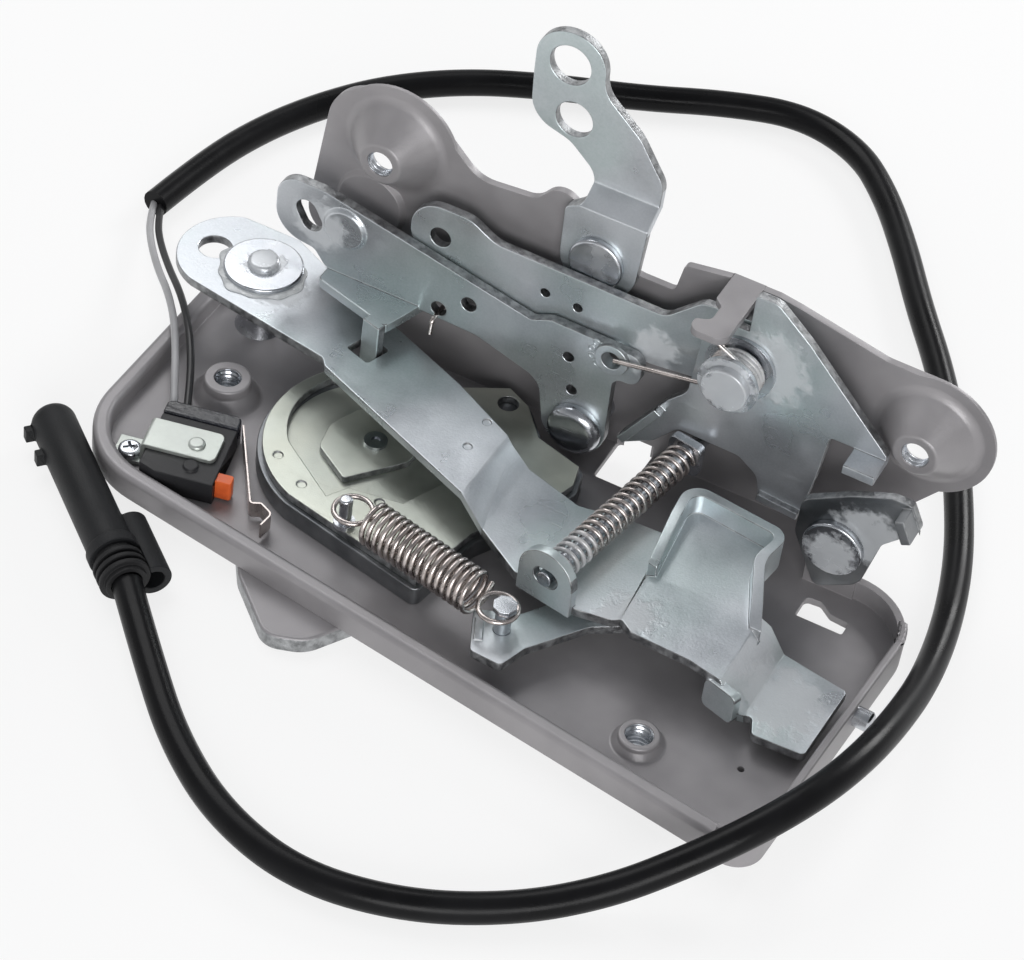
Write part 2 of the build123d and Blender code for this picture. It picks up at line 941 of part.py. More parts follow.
# Control arm: lower plate in front of the wall, a step over its top edge, upper arm behind it
arm_back_front = wall_back + slide_gap
step_low = 75.6
step_high = 79.8
with BuildPart() as control_arm:
    with BuildSketch(facing(arm_back_front + arm_t)):
        with BuildLine():
            outline(
                [
                    (67.2, 51.8),
                    (66.9, 74.0),
                    (71.0, 76.0),
                    (71.3, 82.0),
                    (63.8, 88.4),
                    (53.0, 91.5),
                    (52.4, 104.0),
                    (52.2, 118.2),
                    (70.3, 118.2),
                    (70.2, 105.5),
                    (81.0, 96.5),
                    (88.3, 86.0),
                    (88.1, 74.0),
                    (86.7, 51.8),
                ],
                [9.5, 2, 2, 6, 8, 8, 6, 8.8, 8.8, 8, 10, 6, 10, 9.5],
            )
        make_face()
        with Locations((61.2, 109.2)):
            Circle(5.2, mode=Mode.SUBTRACT)
        with Locations((64.0, 94.8)):
            Circle(4.7, mode=Mode.SUBTRACT)
        with Locations(arm_pin):
            Circle(arm_pin_d / 2 + run_gap, mode=Mode.SUBTRACT)
    extrude(amount=arm_back_front + arm_t - arm_front + 1)
    with BuildSketch(Plane.YZ.offset(40)):
        with BuildLine():
            Polyline(
                (arm_front, 40),
                (arm_front, step_low),
                (arm_back_front, step_high),
                (arm_back_front, 130),
                (arm_back_front + arm_t, 130),
                (arm_back_front + arm_t, step_high - 1.4),
                (arm_front + arm_t, step_low - 1.4),
                (arm_front + arm_t, 40),
                close=True,
            )
        make_face()
    extrude(amount=60, mode=Mode.INTERSECT)

# Release plate
release_points = [
    (119.2, 77.2),
    (124.8, 77.2),
    (134.0, 69.6),
    (157.6, 46.5),
    (157.6, 43.0),
    (149.5, 45.2),
    (143.4, 45.2),
    (142.2, 31.9),
    (140.2, 17.8),
    (129.2, 18.8),
    (128.0, 24.6),
    (122.6, 28.4),
    (106.5, 28.8),
    (101.0, 22.0),
    (92.9, 17.2),
    (92.3, 19.6),
    (102.7, 36.2),
    (107.2, 41.0),
    (108.6, 66.2),
    (119.2, 66.2),
]
release_radii = [1, 4, 10, 1, 0.8, 0.5, 1, 3, 1, 1, 4, 4, 3, 3, 0.8, 0.8, 6, 5, 7, 0.5]
release_tab_front = pawl_back + 0.5

with BuildPart() as release_plate:
    with BuildSketch(facing(release_back)):
        with BuildLine():
            outline(release_points, release_radii)
        make_face()
        with Locations(plate_pin):
            Circle(plate_pin_d / 2 + run_gap, mode=Mode.SUBTRACT)
    extrude(amount=release_t)
    # tab bent forward at the right tip
    with BuildSketch(facing(release_back)):
        with Locations((153.6, 44.2)):
            Rectangle(8.0, release_t)
    extrude(amount=release_back - release_tab_front)
    # narrow flanges at the foot and along the left wing
    with BuildSketch(facing(release_front)):
        with Locations(Location((134.8, 19.3, 0), (0, 0, -5))):
            Rectangle(10.8, 2.2)
    extrude(amount=1.6)
    with BuildSketch(facing(release_front)):
        with Locations(Location((97.6, 26.8, 0), (0, 0, 58))):
            Rectangle(15.5, 2.2)
    extrude(amount=2.6)

# Release pawl with the lug turned toward the front
pawl_points = [
    (142.6, 22.8),
    (142.8, 33.2),
    (153.8, 40.2),
    (163.4, 44.6),
    (168.4, 44.8),
    (171.9, 38.2),
    (163.6, 29.4),
    (160.6, 14.6),
    (150.0, 8.4),
]
with BuildPart() as release_pawl:
    with BuildSketch(facing(pawl_back)):
        with BuildLine():
            outline(pawl_points, [6, 4, 8, 1.5, 1.5, 2, 4, 6, 2])
        make_face()
        with Locations(pawl_pin):
            Circle(pawl_pin_d / 2 + run_gap, mode=Mode.SUBTRACT)
    extrude(amount=pawl_t)
    with BuildSketch(facing(pawl_front)):
        with Locations(Location((169.0, 40.8, 0), (0, 0, -63))):
            Rectangle(6.4, pawl_t)
    extrude(amount=5.5)

# Headed pins on the wall: shoulder behind the piece, shank through it, head in front
def wall_pin(centre, shank_d, shoulder_d, shoulder_front, head_back, head_d, head_t, foot):
    """Pin along Y at centre (X, Z), standing on the face at y = foot."""
    for back, front, d in (
        (foot, shoulder_front, shoulder_d),
        (foot, head_back, shank_d),
        (head_back, head_back - head_t, head_d),
    ):
        if back - front < 0.05:
            continue
        with BuildSketch(facing(back)) as disc:
            with Locations(centre):
                Circle(d / 2)
        extrude(disc.sketch, amount=back - front)


with BuildPart() as locking_bar_pin:
    wall_pin(
        bar_pin, bar_pin_d, bar_pin_d + 4, bar_back + 0.1,
        bar_front - 0.1, bar_pin_head_d, 3.4, wall_front,
    )
    fillet(locking_bar_pin.faces().sort_by(Axis.Y)[0].edges(), radius=2.6)

with BuildPart() as control_arm_pin:
    wall_pin(
        arm_pin, arm_pin_d, arm_pin_d + 4, arm_front + arm_t + 0.1,
        arm_front - 0.1, arm_pin_head_d, 1.6, wall_front,
    )
    fillet(control_arm_pin.faces().sort_by(Axis.Y)[0].edges(), radius=0.8)

plate_head_front = 17.2
plate_head_t = 2.2
with BuildPart() as release_plate_pin:
    wall_pin(
        plate_pin, plate_pin_d, plate_pin_d + 5, link_back + 0.1,
        plate_head_front + plate_head_t, plate_pin_head_d, plate_head_t, wall_front,
    )
    fillet(release_plate_pin.faces().sort_by(Axis.Y)[0].edges(), radius=0.5)

with BuildPart() as release_pawl_pin:
    wall_pin(
        pawl_pin, pawl_pin_d, pawl_pin_d, ear_front,
        pawl_front - 0.1, pawl_pin_head_d, 2.0, ear_front,
    )
    fillet(release_pawl_pin.faces().sort_by(Axis.Y)[0].edges(), radius=0.6)

# Two washers on the release plate's pin, on each side of the torsion spring
washer_t = 1.2
rear_washer_front = release_front - 0.1 - washer_t
front_washer_back = plate_head_front + plate_head_t + washer_t + 0.05
with BuildPart() as rear_washer:
    with BuildSketch(facing(release_front - 0.1)):
        with Locations(plate_pin):
            Circle(8.8)
            Circle(plate_pin_d / 2 + run_gap, mode=Mode.SUBTRACT)
    extrude(amount=washer_t)

with BuildPart() as front_washer:
    with BuildSketch(facing(front_washer_back)):
        with Locations(plate_pin):
            Circle(7.6)
            Circle(plate_pin_d / 2 + run_gap, mode=Mode.SUBTRACT)
    extrude(amount=washer_t)

# Torsion spring round the release plate's pin, one leg to the bar's loop, one to the hook
coil_r = torsion_coil_d / 2
coil_back = rear_washer_front - torsion_wire / 2 - coil_ease
coil_front = front_washer_back + torsion_wire / 2 + coil_ease
coil_len = coil_back - coil_front
hook_hold = (hook_left + 0.8, hook_top - base_t - torsion_wire / 2 - 0.2)


def tangent_angle(target, side):
    """Angle on the coil where a straight leg to the target touches it, and the leg's length."""
    run = (target[0] - plate_pin[0], target[1] - plate_pin[1])
    away = hypot(*run)
    return atan2(run[1], run[0]) + side * acos(coil_r / away), sqrt(away**2 - coil_r**2)


lower_angle, lower_leg = tangent_angle((leg_loop[0] + 1.0, leg_loop[1] + 1.2), 1)
upper_angle, upper_leg = tangent_angle(hook_hold, -1)
leg_overlap = 0.4
coil_turns = torsion_turns + (upper_angle - lower_angle) / (2 * pi) % 1

with BuildPart() as torsion_spring:
    coil = Helix(
        pitch=coil_len / coil_turns,
        height=coil_len,
        radius=coil_r,
        center=(plate_pin[0], coil_back, plate_pin[1]),
        direction=(0, -1, 0),
        mode=Mode.PRIVATE,
    )
    start = coil @ 0
    start_angle = atan2(start.Z - plate_pin[1], start.X - plate_pin[0])
    coil_axis = Axis((plate_pin[0], 0, plate_pin[1]), (0, -1, 0))
    coil = coil.rotate(coil_axis, degrees(lower_angle - start_angle))
    with BuildSketch(Plane(origin=coil @ 0, z_dir=coil % 0)) as wire_end:
        Circle(torsion_wire / 2)
    sweep(wire_end.sketch, path=coil, is_frenet=True)
    # lower leg, slanted a little forward so that it lies in front of the bar's loop
    leg_start = coil @ 0
    leg_dir = -(coil % 0)
    leg_tip = leg_start + Vector(leg_dir.X, 0, leg_dir.Z).normalized() * lower_leg
    leg_tip.Y = bar_front - loop_t - torsion_wire / 2 - 0.2
    leg = leg_tip - leg_start
    leg_root = leg_start - leg.normalized() * leg_overlap
    with BuildSketch(Plane(origin=leg_root, z_dir=leg)) as leg_end:
        Circle(torsion_wire / 2 - weld_ease)
    extrude(leg_end.sketch, amount=leg.length + leg_overlap)
    # upper leg under the hook finger
    upper_dir = coil % 1
    upper_root = coil @ 1 - upper_dir * leg_overlap
    with BuildSketch(Plane(origin=upper_root, z_dir=upper_dir)) as upper_end:
        Circle(torsion_wire / 2 - weld_ease)
    extrude(upper_end.sketch, amount=upper_leg + leg_overlap)

# Guide rod with its square flange, and the return spring round it
rod_end_s = (wall_front - rod_start[1]) / rod_along[1]
flange_front_s = 54.9
with BuildPart() as guide_rod:
    with BuildSketch(across_rod(rod_end_s + 1)):
        Circle(rod_d / 2)
    extrude(amount=rod_end_s + 1.8)
    with BuildSketch(across_rod(flange_front_s + rod_flange_t)):
        RectangleRounded(rod_flange, rod_flange, 1.6)
    extrude(amount=rod_flange_t)
    split(bisect_by=Plane.XZ.offset(-wall_front), keep=Keep.TOP)

spring_s = lever_t + 0.1 + return_wire / 2
spring_len = flange_front_s - 0.1 - return_wire / 2 - spring_s
with BuildPart() as return_spring:
    with BuildLine():
        return_path = Helix(
            pitch=spring_len / return_turns,
            height=spring_len,
            radius=return_coil_d / 2,
            center=on_rod(spring_s),
            direction=rod_along,
        )
    with BuildSketch(Plane(origin=return_path @ 0, z_dir=return_path % 0)):
        Circle(return_wire / 2)
    sweep(path=return_path, is_frenet=True)

# Tension spring, its level end rings round the lower lever's peg and a lug on the latch
lug_r = 1.6
loop_inner_r = tension_loop_r - tension_wire / 2
loop_reach = tension_loop_r + tension_wire + 0.05
peg_slack = loop_inner_r - peg_d / 2 - 0.1
lug_slack = loop_inner_r - lug_r - 0.1
spring_run = (peg[0] - tension_from[0], peg[1] - tension_from[1])
spring_whole = hypot(*spring_run)
spring_dir = (spring_run[0] / spring_whole, spring_run[1] / spring_whole, 0.0)
tension_len = spring_whole - peg_slack - loop_reach


def on_tension(s):
    """Point on the tension spring's axis, s mm from the latch end of its coil."""
    return (tension_from[0] + s * spring_dir[0], tension_from[1] + s * spring_dir[1], tension_z)


with BuildPart() as tension_spring:
    coil = Helix(
        pitch=tension_len / tension_turns,
        height=tension_len,
        radius=tension_coil_d / 2,
        center=on_tension(0),
        direction=spring_dir,
        mode=Mode.PRIVATE,
    )
    with BuildSketch(Plane(origin=coil @ 0, z_dir=coil % 0)) as wire_end:
        Circle(tension_wire / 2)
    sweep(wire_end.sketch, path=coil, is_frenet=True)
    # each end turns in to the near side of its ring
    for ring, near, end in (
        (-loop_reach, -loop_reach + tension_loop_r, coil @ 0),
        (tension_len + loop_reach, tension_len + loop_reach - tension_loop_r, coil @ 1),
    ):
        with Locations(on_tension(ring)):
            Torus(tension_loop_r, tension_wire / 2)
        link = Vector(*on_tension(near)) - end
        with BuildSketch(Plane(origin=end, z_dir=link)) as link_end:
            Circle(tension_wire / 2 - weld_ease)
        extrude(link_end.sketch, amount=link.length)
        with Locations(end):
            Sphere(tension_wire / 2 + weld_ease)

with BuildPart() as spring_lug:
    with BuildSketch(level(latch_top)):
        with Locations(on_tension(-loop_reach - lug_slack)[:2]):
            Circle(lug_r + 1.0)
    extrude(amount=1.2)
    with BuildSketch(level(latch_top)):
        with Locations(on_tension(-loop_reach - lug_slack)[:2]):
            Circle(lug_r)
    extrude(amount=tension_z + 2.2 - latch_top)
    fillet(spring_lug.edges().sort_by(Axis.Z)[-1], radius=0.6)

# Threaded stub outside the end wall, square to the wall's face
wall_run = (base_right_back - base_right_front, shelf_back - base_front_right)
stub_y = -17.0
stub_z = 10.6
stub_l = 4.0
stub_x = base_right_front + wall_run[0] * (stub_y - base_front_right) / wall_run[1]
with BuildPart() as end_stub:
    with BuildSketch(
        Plane(
            origin=(stub_x, stub_y, stub_z),
            x_dir=(wall_run[0], wall_run[1], 0),
            z_dir=(wall_run[1], -wall_run[0], 0),
        )
    ):
        Circle(2.5)
    extrude(amount=stub_l)
    chamfer(end_stub.faces().sort_by(Axis.X)[-1].edges(), length=0.5)

# Switch: case, potting over its leads, bracket, screw, rivet, plunger and leaf
switch_x = (cos(radians(switch_turn)), sin(radians(switch_turn)), 0.0)
case_top = floor_top + switch_h
case_right = switch_w / 2
case_back = switch_l / 2
plunger_y = -6.45
plunger_w = 3.0
plunger_h = 5.5
plunger_z = floor_top + 3.4
plunger_gap = 0.15
plunger_travel = 0.8
plunger_out = 3.9
bracket_t = 1.2
screw_place = (-14.0, -0.65)
screw_head_r = 2.9
screw_head_t = 1.9
recess_l = 3.6
recess_w = 0.8
recess_deep = 1.0
recess_turn = 28


def on_switch(z):
    """Level plane at z, turned with the switch, centred on its case."""
    return Plane(origin=(*switch_centre, z), x_dir=switch_x, z_dir=(0, 0, 1))


bracket_y = 1.55
bracket_w = 9.8
bracket_right = 7.6
bracket_left = -case_right - 0.2 - bracket_t
foot_y = 0.65
foot_w = 8.0

# Room inside the rim, which trims the switch and its bracket
with BuildPart() as rim_room:
    with BuildSketch(level(floor_top)):
        with BuildLine():
            outline(base_points, base_radii)
        make_face()
        offset(amount=-rim_w - seat_gap, kind=Kind.INTERSECTION, mode=Mode.REPLACE)
    extrude(amount=switch_h + 5)

with BuildPart() as switch_case:
    with BuildSketch(on_switch(floor_top)):
        Rectangle(switch_w, switch_l)
    extrude(amount=switch_h)
    add(rim_room.part, mode=Mode.INTERSECT)
    with BuildSketch(on_switch(case_top)):
        with Locations((2.6, -5.75)):
            Circle(1.8)
    extrude(amount=0.9)
    with BuildSketch(on_switch(plunger_z)):
        with Locations((case_right, plunger_y)):
            Rectangle(4.4, plunger_w + 2 * plunger_gap)
    extrude(amount=plunger_h / 2 + plunger_gap, both=True, mode=Mode.SUBTRACT)

with BuildPart() as switch_potting:
    with BuildSketch(on_switch(floor_top)):
        with Locations((0, case_back + potting_l / 2)):
            Rectangle(switch_w, potting_l)
    extrude(amount=potting_h)
    potting_back = switch_potting.edges().filter_by(Axis.Z).sort_by(Axis.Y)[-2:]
    fillet(potting_back, radius=1.6)

# Bracket: tongue over the case, leg down its side and foot under the screw
with BuildPart() as switch_bracket:
    with BuildSketch(on_switch(case_top)):
        with Locations(((bracket_right + bracket_left) / 2, bracket_y)):
            Rectangle(bracket_right - bracket_left, bracket_w)
    extrude(amount=bracket_t)
    with BuildSketch(on_switch(floor_top)):
        with Locations((bracket_left + bracket_t / 2, bracket_y)):
            Rectangle(bracket_t, bracket_w)
    extrude(amount=switch_h + bracket_t)
    tongue_corners = switch_bracket.edges().filter_by(Axis.Z).sort_by(Axis.X)[-2:]
    fillet(tongue_corners, radius=1.8)
    bend = switch_bracket.edges().filter_by(lambda e: e.center().Z > case_top + bracket_t - 0.01)
    fillet(bend.sort_by(Axis.X)[0], radius=1.1)
    with BuildSketch(on_switch(floor_top)):
        with Locations((bracket_left - 3.0, foot_y)):
            Rectangle(8.4, foot_w)
        with Locations(screw_place):
            Circle(1.5, mode=Mode.SUBTRACT)
    extrude(amount=bracket_t)
    add(rim_room.part, mode=Mode.INTERSECT)

with BuildPart() as switch_screw:
    with BuildSketch(on_switch(floor_top)):
        with Locations(screw_place):
            Circle(1.5)
    extrude(amount=bracket_t)
    with BuildSketch(on_switch(floor_top + bracket_t)):
        with Locations(screw_place):
            Circle(screw_head_r)
    extrude(amount=screw_head_t)
    fillet(switch_screw.faces().sort_by(Axis.Z)[-1].edges(), radius=screw_head_t / 2)
    # cross recess for the driver
    with BuildSketch(on_switch(floor_top + bracket_t + screw_head_t)):
        with Locations(screw_place):
            Rectangle(recess_l, recess_w, rotation=recess_turn)
            Rectangle(recess_w, recess_l, rotation=recess_turn)
    extrude(amount=-recess_deep, mode=Mode.SUBTRACT)

with BuildPart() as switch_rivet:
    with BuildSketch(on_switch(case_top + bracket_t)):
        with Locations((2.0, 0.85)):
            Circle(2.1)
    extrude(amount=0.9)
    fillet(switch_rivet.faces().sort_by(Axis.Z)[-1].edges(), radius=0.8)

with BuildPart() as switch_plunger:
    with BuildSketch(on_switch(plunger_z)):
        with Locations((case_right + (plunger_out - 1.1) / 2, plunger_y)):
            RectangleRounded(plunger_out + 1.1, plunger_w, 0.7)
    extrude(amount=plunger_h / 2, both=True)

leaf_t = 0.5
leaf_low = 7.5
leaf_high = 12.0
with BuildPart() as switch_leaf:
    with BuildSketch(on_switch(leaf_low)) as leaf_plan:
        with BuildLine():
            FilletPolyline(
                (case_right + 0.35, 13.4),
                (19.2, -11.4),
                (21.6, -10.6),
                (25.0, -13.2),
                (23.6, -17.6),
                radius=[0.8, 0.8, 1.6],
            )
        trace(line_width=leaf_t)
    extrude(amount=leaf_high - leaf_low)


# Cords: straight runs joined by tangent arcs
def cord_radii(points):
    """One radius per inner point: 0.45 of the shorter run over tan(half the turn)."""
    places = [Vector(*p) for p in points]
    radii = []
    for before, here, after in zip(places, places[1:], places[2:]):
        first = here - before
        second = after - here
        turn = radians(first.get_angle(second))
        radii.append(0.45 * min(first.length, second.length) / tan(turn / 2))
    return radii


def cord(points, d):
    """Round tube along the points."""
    with BuildLine() as route:
        FilletPolyline(*points, radius=cord_radii(points))
    path = route.wire()
    with BuildSketch(Plane(origin=path @ 0, z_dir=path % 0)) as section:
        Circle(d / 2)
    sweep(section.sketch, path=path)
    return path.length


# Connector on the cable's end, lying on its side
plug_z = 6.25
plug_run = (plug_front[0] - plug_rear[0], plug_front[1] - plug_rear[1])
plug_length = hypot(*plug_run)
plug_dir = (plug_run[0] / plug_length, plug_run[1] / plug_length, 0.0)
plug_side = (plug_dir[1], -plug_dir[0], 0.0)
collar_d = 12.4
collar_l = 9.0
collar_step = 2.2
twin_d = 8.8
twin_offset = 7.0


def across_plug(s, side=0.0, z=plug_z):
    """Plane square to the connector, s mm from its cable end, growing toward its nose."""
    return Plane(
        origin=(
            plug_rear[0] + s * plug_dir[0] + side * plug_side[0],
            plug_rear[1] + s * plug_dir[1] + side * plug_side[1],
            z,
        ),
        x_dir=plug_side,
        z_dir=plug_dir,
    )


with BuildPart() as connector_body:
    with BuildSketch(across_plug(collar_l)):
        Circle(plug_d / 2)
    extrude(amount=plug_length - collar_l)
    nose = connector_body.faces().sort_by(Axis.X)[0]
    fillet(nose.edges(), radius=4.0)
    # flare at the cable end
    with BuildSketch(across_plug(collar_l)):
        Circle(collar_d / 2)
    extrude(amount=3.0)
    # twin barrel beside it
    with BuildSketch(across_plug(1.0, twin_offset, twin_d / 2)):
        Circle(twin_d / 2)
    extrude(amount=19.0)
    with BuildSketch(across_plug(1.0, twin_offset, twin_d / 2)):
        Circle(2.6)
    extrude(amount=7.0, mode=Mode.SUBTRACT)
    # collar's seat in the flared end
    with BuildSketch(across_plug(0.0)):
        Circle(collar_d / 2)
    extrude(amount=collar_l, mode=Mode.SUBTRACT)
    # two lugs on the outer side
    for s in (plug_length - 14.0, plug_length - 5.4):
        with BuildSketch(across_plug(s)):
            with Locations((-plug_d / 2 - 0.5, 1.2)):
                Rectangle(2.6, 3.6)
        extrude(amount=2.4)
    # notch near the nose
    with BuildSketch(across_plug(plug_length - 12.0)):
        with Locations((1.6, plug_d / 2)):
            Rectangle(3.0, 1.8)
    extrude(amount=3.0, mode=Mode.SUBTRACT)

with BuildPart() as connector_collar:
    with BuildSketch(across_plug(0.0)):
        Circle(collar_d / 2 - 1.2)
        Circle(cable_d / 2, mode=Mode.SUBTRACT)
    extrude(amount=collar_l)
    for s in (1.2, 1.2 + collar_step, 1.2 + 2 * collar_step):
        with BuildSketch(across_plug(s)):
            Circle(collar_d / 2)
            Circle(cable_d / 2, mode=Mode.SUBTRACT)
        extrude(amount=1.1)

# Cable, from its free end behind the lock round to the connector
cable_low = cable_d / 2 + 0.05
cable_points = [
    (-53.8, 55.0, cable_low),
    (-51.8, 74.0, cable_low),
    (-47.4, 94.5, cable_low),
    (-39.2, 114.0, cable_low),
    (-27.5, 132.0, cable_low),
    (-10.6, 147.6, cable_low),
    (10.0, 159.0, cable_low),
    (32.6, 168.6, cable_low),
    (53.0, 180.0, cable_low),
    (73.4, 187.6, cable_low),
    (93.2, 182.0, cable_low),
    (107.2, 167.9, cable_low),
    (120.0, 150.0, cable_low),
    (132.0, 131.0, cable_low),
    (144.8, 112.8, cable_low),
    (156.6, 93.0, cable_low),
    (167.0, 71.6, cable_low),
    (175.8, 50.0, cable_low),
    (181.5, 28.0, 4.0),
    (184.6, 4.6, 8.0),
    (185.2, -18.0, 15.4),
    (183.9, -37.0, 20.4),
    (179.8, -53.2, 21.8),
    (172.6, -67.8, 20.4),
    (161.6, -79.2, 13.6),
    (148.7, -90.1, 6.2),
    (133.0, -103.2, cable_low),
    (112.4, -115.2, cable_low),
    (88.6, -120.2, cable_low),
    (65.8, -114.2, cable_low),
    (46.4, -101.2, cable_low),
    (29.8, -85.0, 4.8),
    (plug_rear[0], plug_rear[1], plug_z),
]
with BuildPart() as cable:
    cable_length = cord(cable_points, cable_d)

# Two loose wires from the cable's free end over the rim to the switch
grey_points = [
    (-54.6, 56.0, 3.4),
    (-51.4, 48.0, 4.2),
    (-46.0, 39.6, 5.6),
    (-37.2, 28.4, 8.8),
    (-28.0, 18.0, 13.0),
    (-20.6, 8.6, 14.8),
    (-14.6, -0.6, 14.6),
    (-9.6, -9.2, 12.8),
    (-5.2, -16.6, 11.0),
]
black_points = [
    (-52.6, 56.0, 3.4),
    (-49.2, 48.6, 4.0),
    (-44.0, 41.0, 5.4),
    (-34.8, 30.0, 8.8),
    (-25.4, 19.6, 13.0),
    (-17.8, 10.2, 14.8),
    (-11.4, 1.4, 14.6),
    (-6.4, -7.2, 12.8),
    (-2.2, -15.8, 11.0),
]
with BuildPart() as grey_wire:
    grey_length = cord(grey_points, wire_d)

with BuildPart() as black_wire:
    black_length = cord(black_points, wire_d)

for name, points, d, length, solid in (
    ("cable", cable_points, cable_d, cable_length, cable),
    ("grey wire", grey_points, wire_d, grey_length, grey_wire),
    ("black wire", black_points, wire_d, black_length, black_wire),
):
    radii = [round(r, 1) for r in cord_radii(points)]
    ratio = solid.part.volume / (pi * d**2 / 4 * length)
    print(f"{name}: length {length:.1f}, volume ratio {ratio:.4f}, radii {radii}")

pieces = {
    "back_plate": back_plate,
    "base_plate": base_plate,
    "end_stub": end_stub,
    "lever_post": lever_post,
    "post_washer": post_washer,
    "main_lever": main_lever,
    "guide_rod": guide_rod,
    "return_spring": return_spring,
    "lower_lever": lower_lever,
    "spring_peg": spring_peg,
    "lower_lever_stud": lower_lever_stud,
    "tension_spring": tension_spring,
    "spring_lug": spring_lug,
    "latch_housing": latch_housing,
    "latch_cover": latch_cover,
    "latch_rotor": latch_rotor,
    "rotor_stop": rotor_stop,
    "rotor_rivet": rotor_rivet,
    "locking_bar": locking_bar,
    "bar_wire": bar_wire,
    "locking_bar_pin": locking_bar_pin,
    "link_bar": link_bar,
    "control_arm": control_arm,
    "control_arm_pin": control_arm_pin,
    "release_plate": release_plate,
    "release_plate_pin": release_plate_pin,
    "rear_washer": rear_washer,
    "front_washer": front_washer,
    "torsion_spring": torsion_spring,
    "release_pawl": release_pawl,
    "release_pawl_pin": release_pawl_pin,
    "switch_case": switch_case,
    "switch_potting": switch_potting,
    "switch_bracket": switch_bracket,
    "switch_screw": switch_screw,
    "switch_rivet": switch_rivet,
    "switch_plunger": switch_plunger,
    "switch_leaf": switch_leaf,
    "grey_wire": grey_wire,
    "black_wire": black_wire,
    "cable": cable,
    "connector_body": connector_body,
    "connector_collar": connector_collar,
}
for label, piece in pieces.items():
    piece.part.label = label
    export_step(piece.part, f"parts/{label}.step")
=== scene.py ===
import json
import math

import bmesh
import bpy
import numpy as np
from mathutils import Matrix, Vector


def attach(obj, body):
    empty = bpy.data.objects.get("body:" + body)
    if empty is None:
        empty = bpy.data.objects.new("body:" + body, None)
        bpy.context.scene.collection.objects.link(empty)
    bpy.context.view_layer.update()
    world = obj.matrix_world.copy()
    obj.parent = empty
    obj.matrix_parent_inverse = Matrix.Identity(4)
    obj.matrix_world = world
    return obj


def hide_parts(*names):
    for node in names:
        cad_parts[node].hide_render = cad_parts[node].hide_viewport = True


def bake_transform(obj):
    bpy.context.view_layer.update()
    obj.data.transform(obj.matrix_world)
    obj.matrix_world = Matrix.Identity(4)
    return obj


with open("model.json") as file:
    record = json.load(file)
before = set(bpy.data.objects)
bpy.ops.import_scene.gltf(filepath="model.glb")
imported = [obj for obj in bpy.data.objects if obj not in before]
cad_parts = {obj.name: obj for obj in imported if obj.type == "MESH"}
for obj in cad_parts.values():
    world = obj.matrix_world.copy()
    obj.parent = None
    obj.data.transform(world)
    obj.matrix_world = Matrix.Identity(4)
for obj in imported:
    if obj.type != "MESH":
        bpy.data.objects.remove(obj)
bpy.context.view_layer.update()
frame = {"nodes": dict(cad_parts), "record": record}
nodes = frame["nodes"]
bodyOf = {n: b for b, names in frame["record"]["behaviour"]["bodies"].items() for n in names}
slotOf = {s["node"]: s["material_slot"] for s in frame["record"]["subparts"]}
scene = bpy.context.scene
scene.view_settings.view_transform = "Standard"
print("frame loaded:", len(nodes), "nodes")

# camera, at the photograph's viewing angle
cameraLook = {
    "place": (0.29573, -0.55589, 0.59244),
    "right": (0.88463, 0.45456, 0.10392),
    "up": (-0.38464, 0.58538, 0.71371),
    "back": (0.26359, -0.67134, 0.69269),
    "lens": 123.05,
    "sensor": 36.0,
    "nearest": 0.01,
}
cameraData = bpy.data.cameras.new("photoCamera")
cameraData.lens = cameraLook["lens"]
cameraData.sensor_width = cameraLook["sensor"]
cameraData.sensor_fit = "HORIZONTAL"
cameraData.clip_start = cameraLook["nearest"]
camera = bpy.data.objects.new("photoCamera", cameraData)
scene.collection.objects.link(camera)
turn = Matrix((cameraLook["right"], cameraLook["up"], cameraLook["back"])).transposed()
camera.matrix_world = Matrix.Translation(cameraLook["place"]) @ turn.to_4x4()
scene.camera = camera


# node groups and materials
def newGroup(name, inputs, outputs):
    # A shader node group with float inputs (name, default) and outputs (name, kind).
    group = bpy.data.node_groups.new(name, "ShaderNodeTree")
    for label, value in inputs:
        socket = group.interface.new_socket(label, in_out="INPUT", socket_type="NodeSocketFloat")
        socket.default_value = value
    for label, kind in outputs:
        group.interface.new_socket(label, in_out="OUTPUT", socket_type=kind)
    return group, group.nodes.new("NodeGroupInput"), group.nodes.new("NodeGroupOutput")


def addNoise(tree, vector, scale, detail=3.0, rough=0.55):
    # A noise texture on the given vector socket; scale is a number or a socket.
    node = tree.nodes.new("ShaderNodeTexNoise")
    node.inputs["Detail"].default_value = detail
    node.inputs["Roughness"].default_value = rough
    tree.links.new(vector, node.inputs["Vector"])
    if isinstance(scale, (int, float)):
        node.inputs["Scale"].default_value = scale
    else:
        tree.links.new(scale, node.inputs["Scale"])
    return node.outputs["Fac"]


def addMath(tree, kind, a, b):
    # A maths node of two values, each a number or a socket.
    node = tree.nodes.new("ShaderNodeMath")
    node.operation = kind
    for place, value in ((0, a), (1, b)):
        if isinstance(value, (int, float)):
            node.inputs[place].default_value = value
        else:
            tree.links.new(value, node.inputs[place])
    return node.outputs[0]


def addMix(tree, fac, a, b):
    # A colour mix; each colour is a tuple or a socket.
    node = tree.nodes.new("ShaderNodeMix")
    node.data_type = "RGBA"
    sockets = (node.inputs[0], node.inputs[6], node.inputs[7])
    for socket, value in zip(sockets, (fac, a, b)):
        if isinstance(value, tuple):
            socket.default_value = (*value, 1.0)
        elif isinstance(value, (int, float)):
            socket.default_value = value
        else:
            tree.links.new(value, socket)
    return node.outputs[2]


def spread(tree, value, low, high):
    # Stretches a value so that low becomes 0 and high becomes 1, held between them.
    node = tree.nodes.new("ShaderNodeMapRange")
    node.inputs["From Min"].default_value = low
    node.inputs["From Max"].default_value = high
    tree.links.new(value, node.inputs["Value"])
    return node.outputs["Result"]


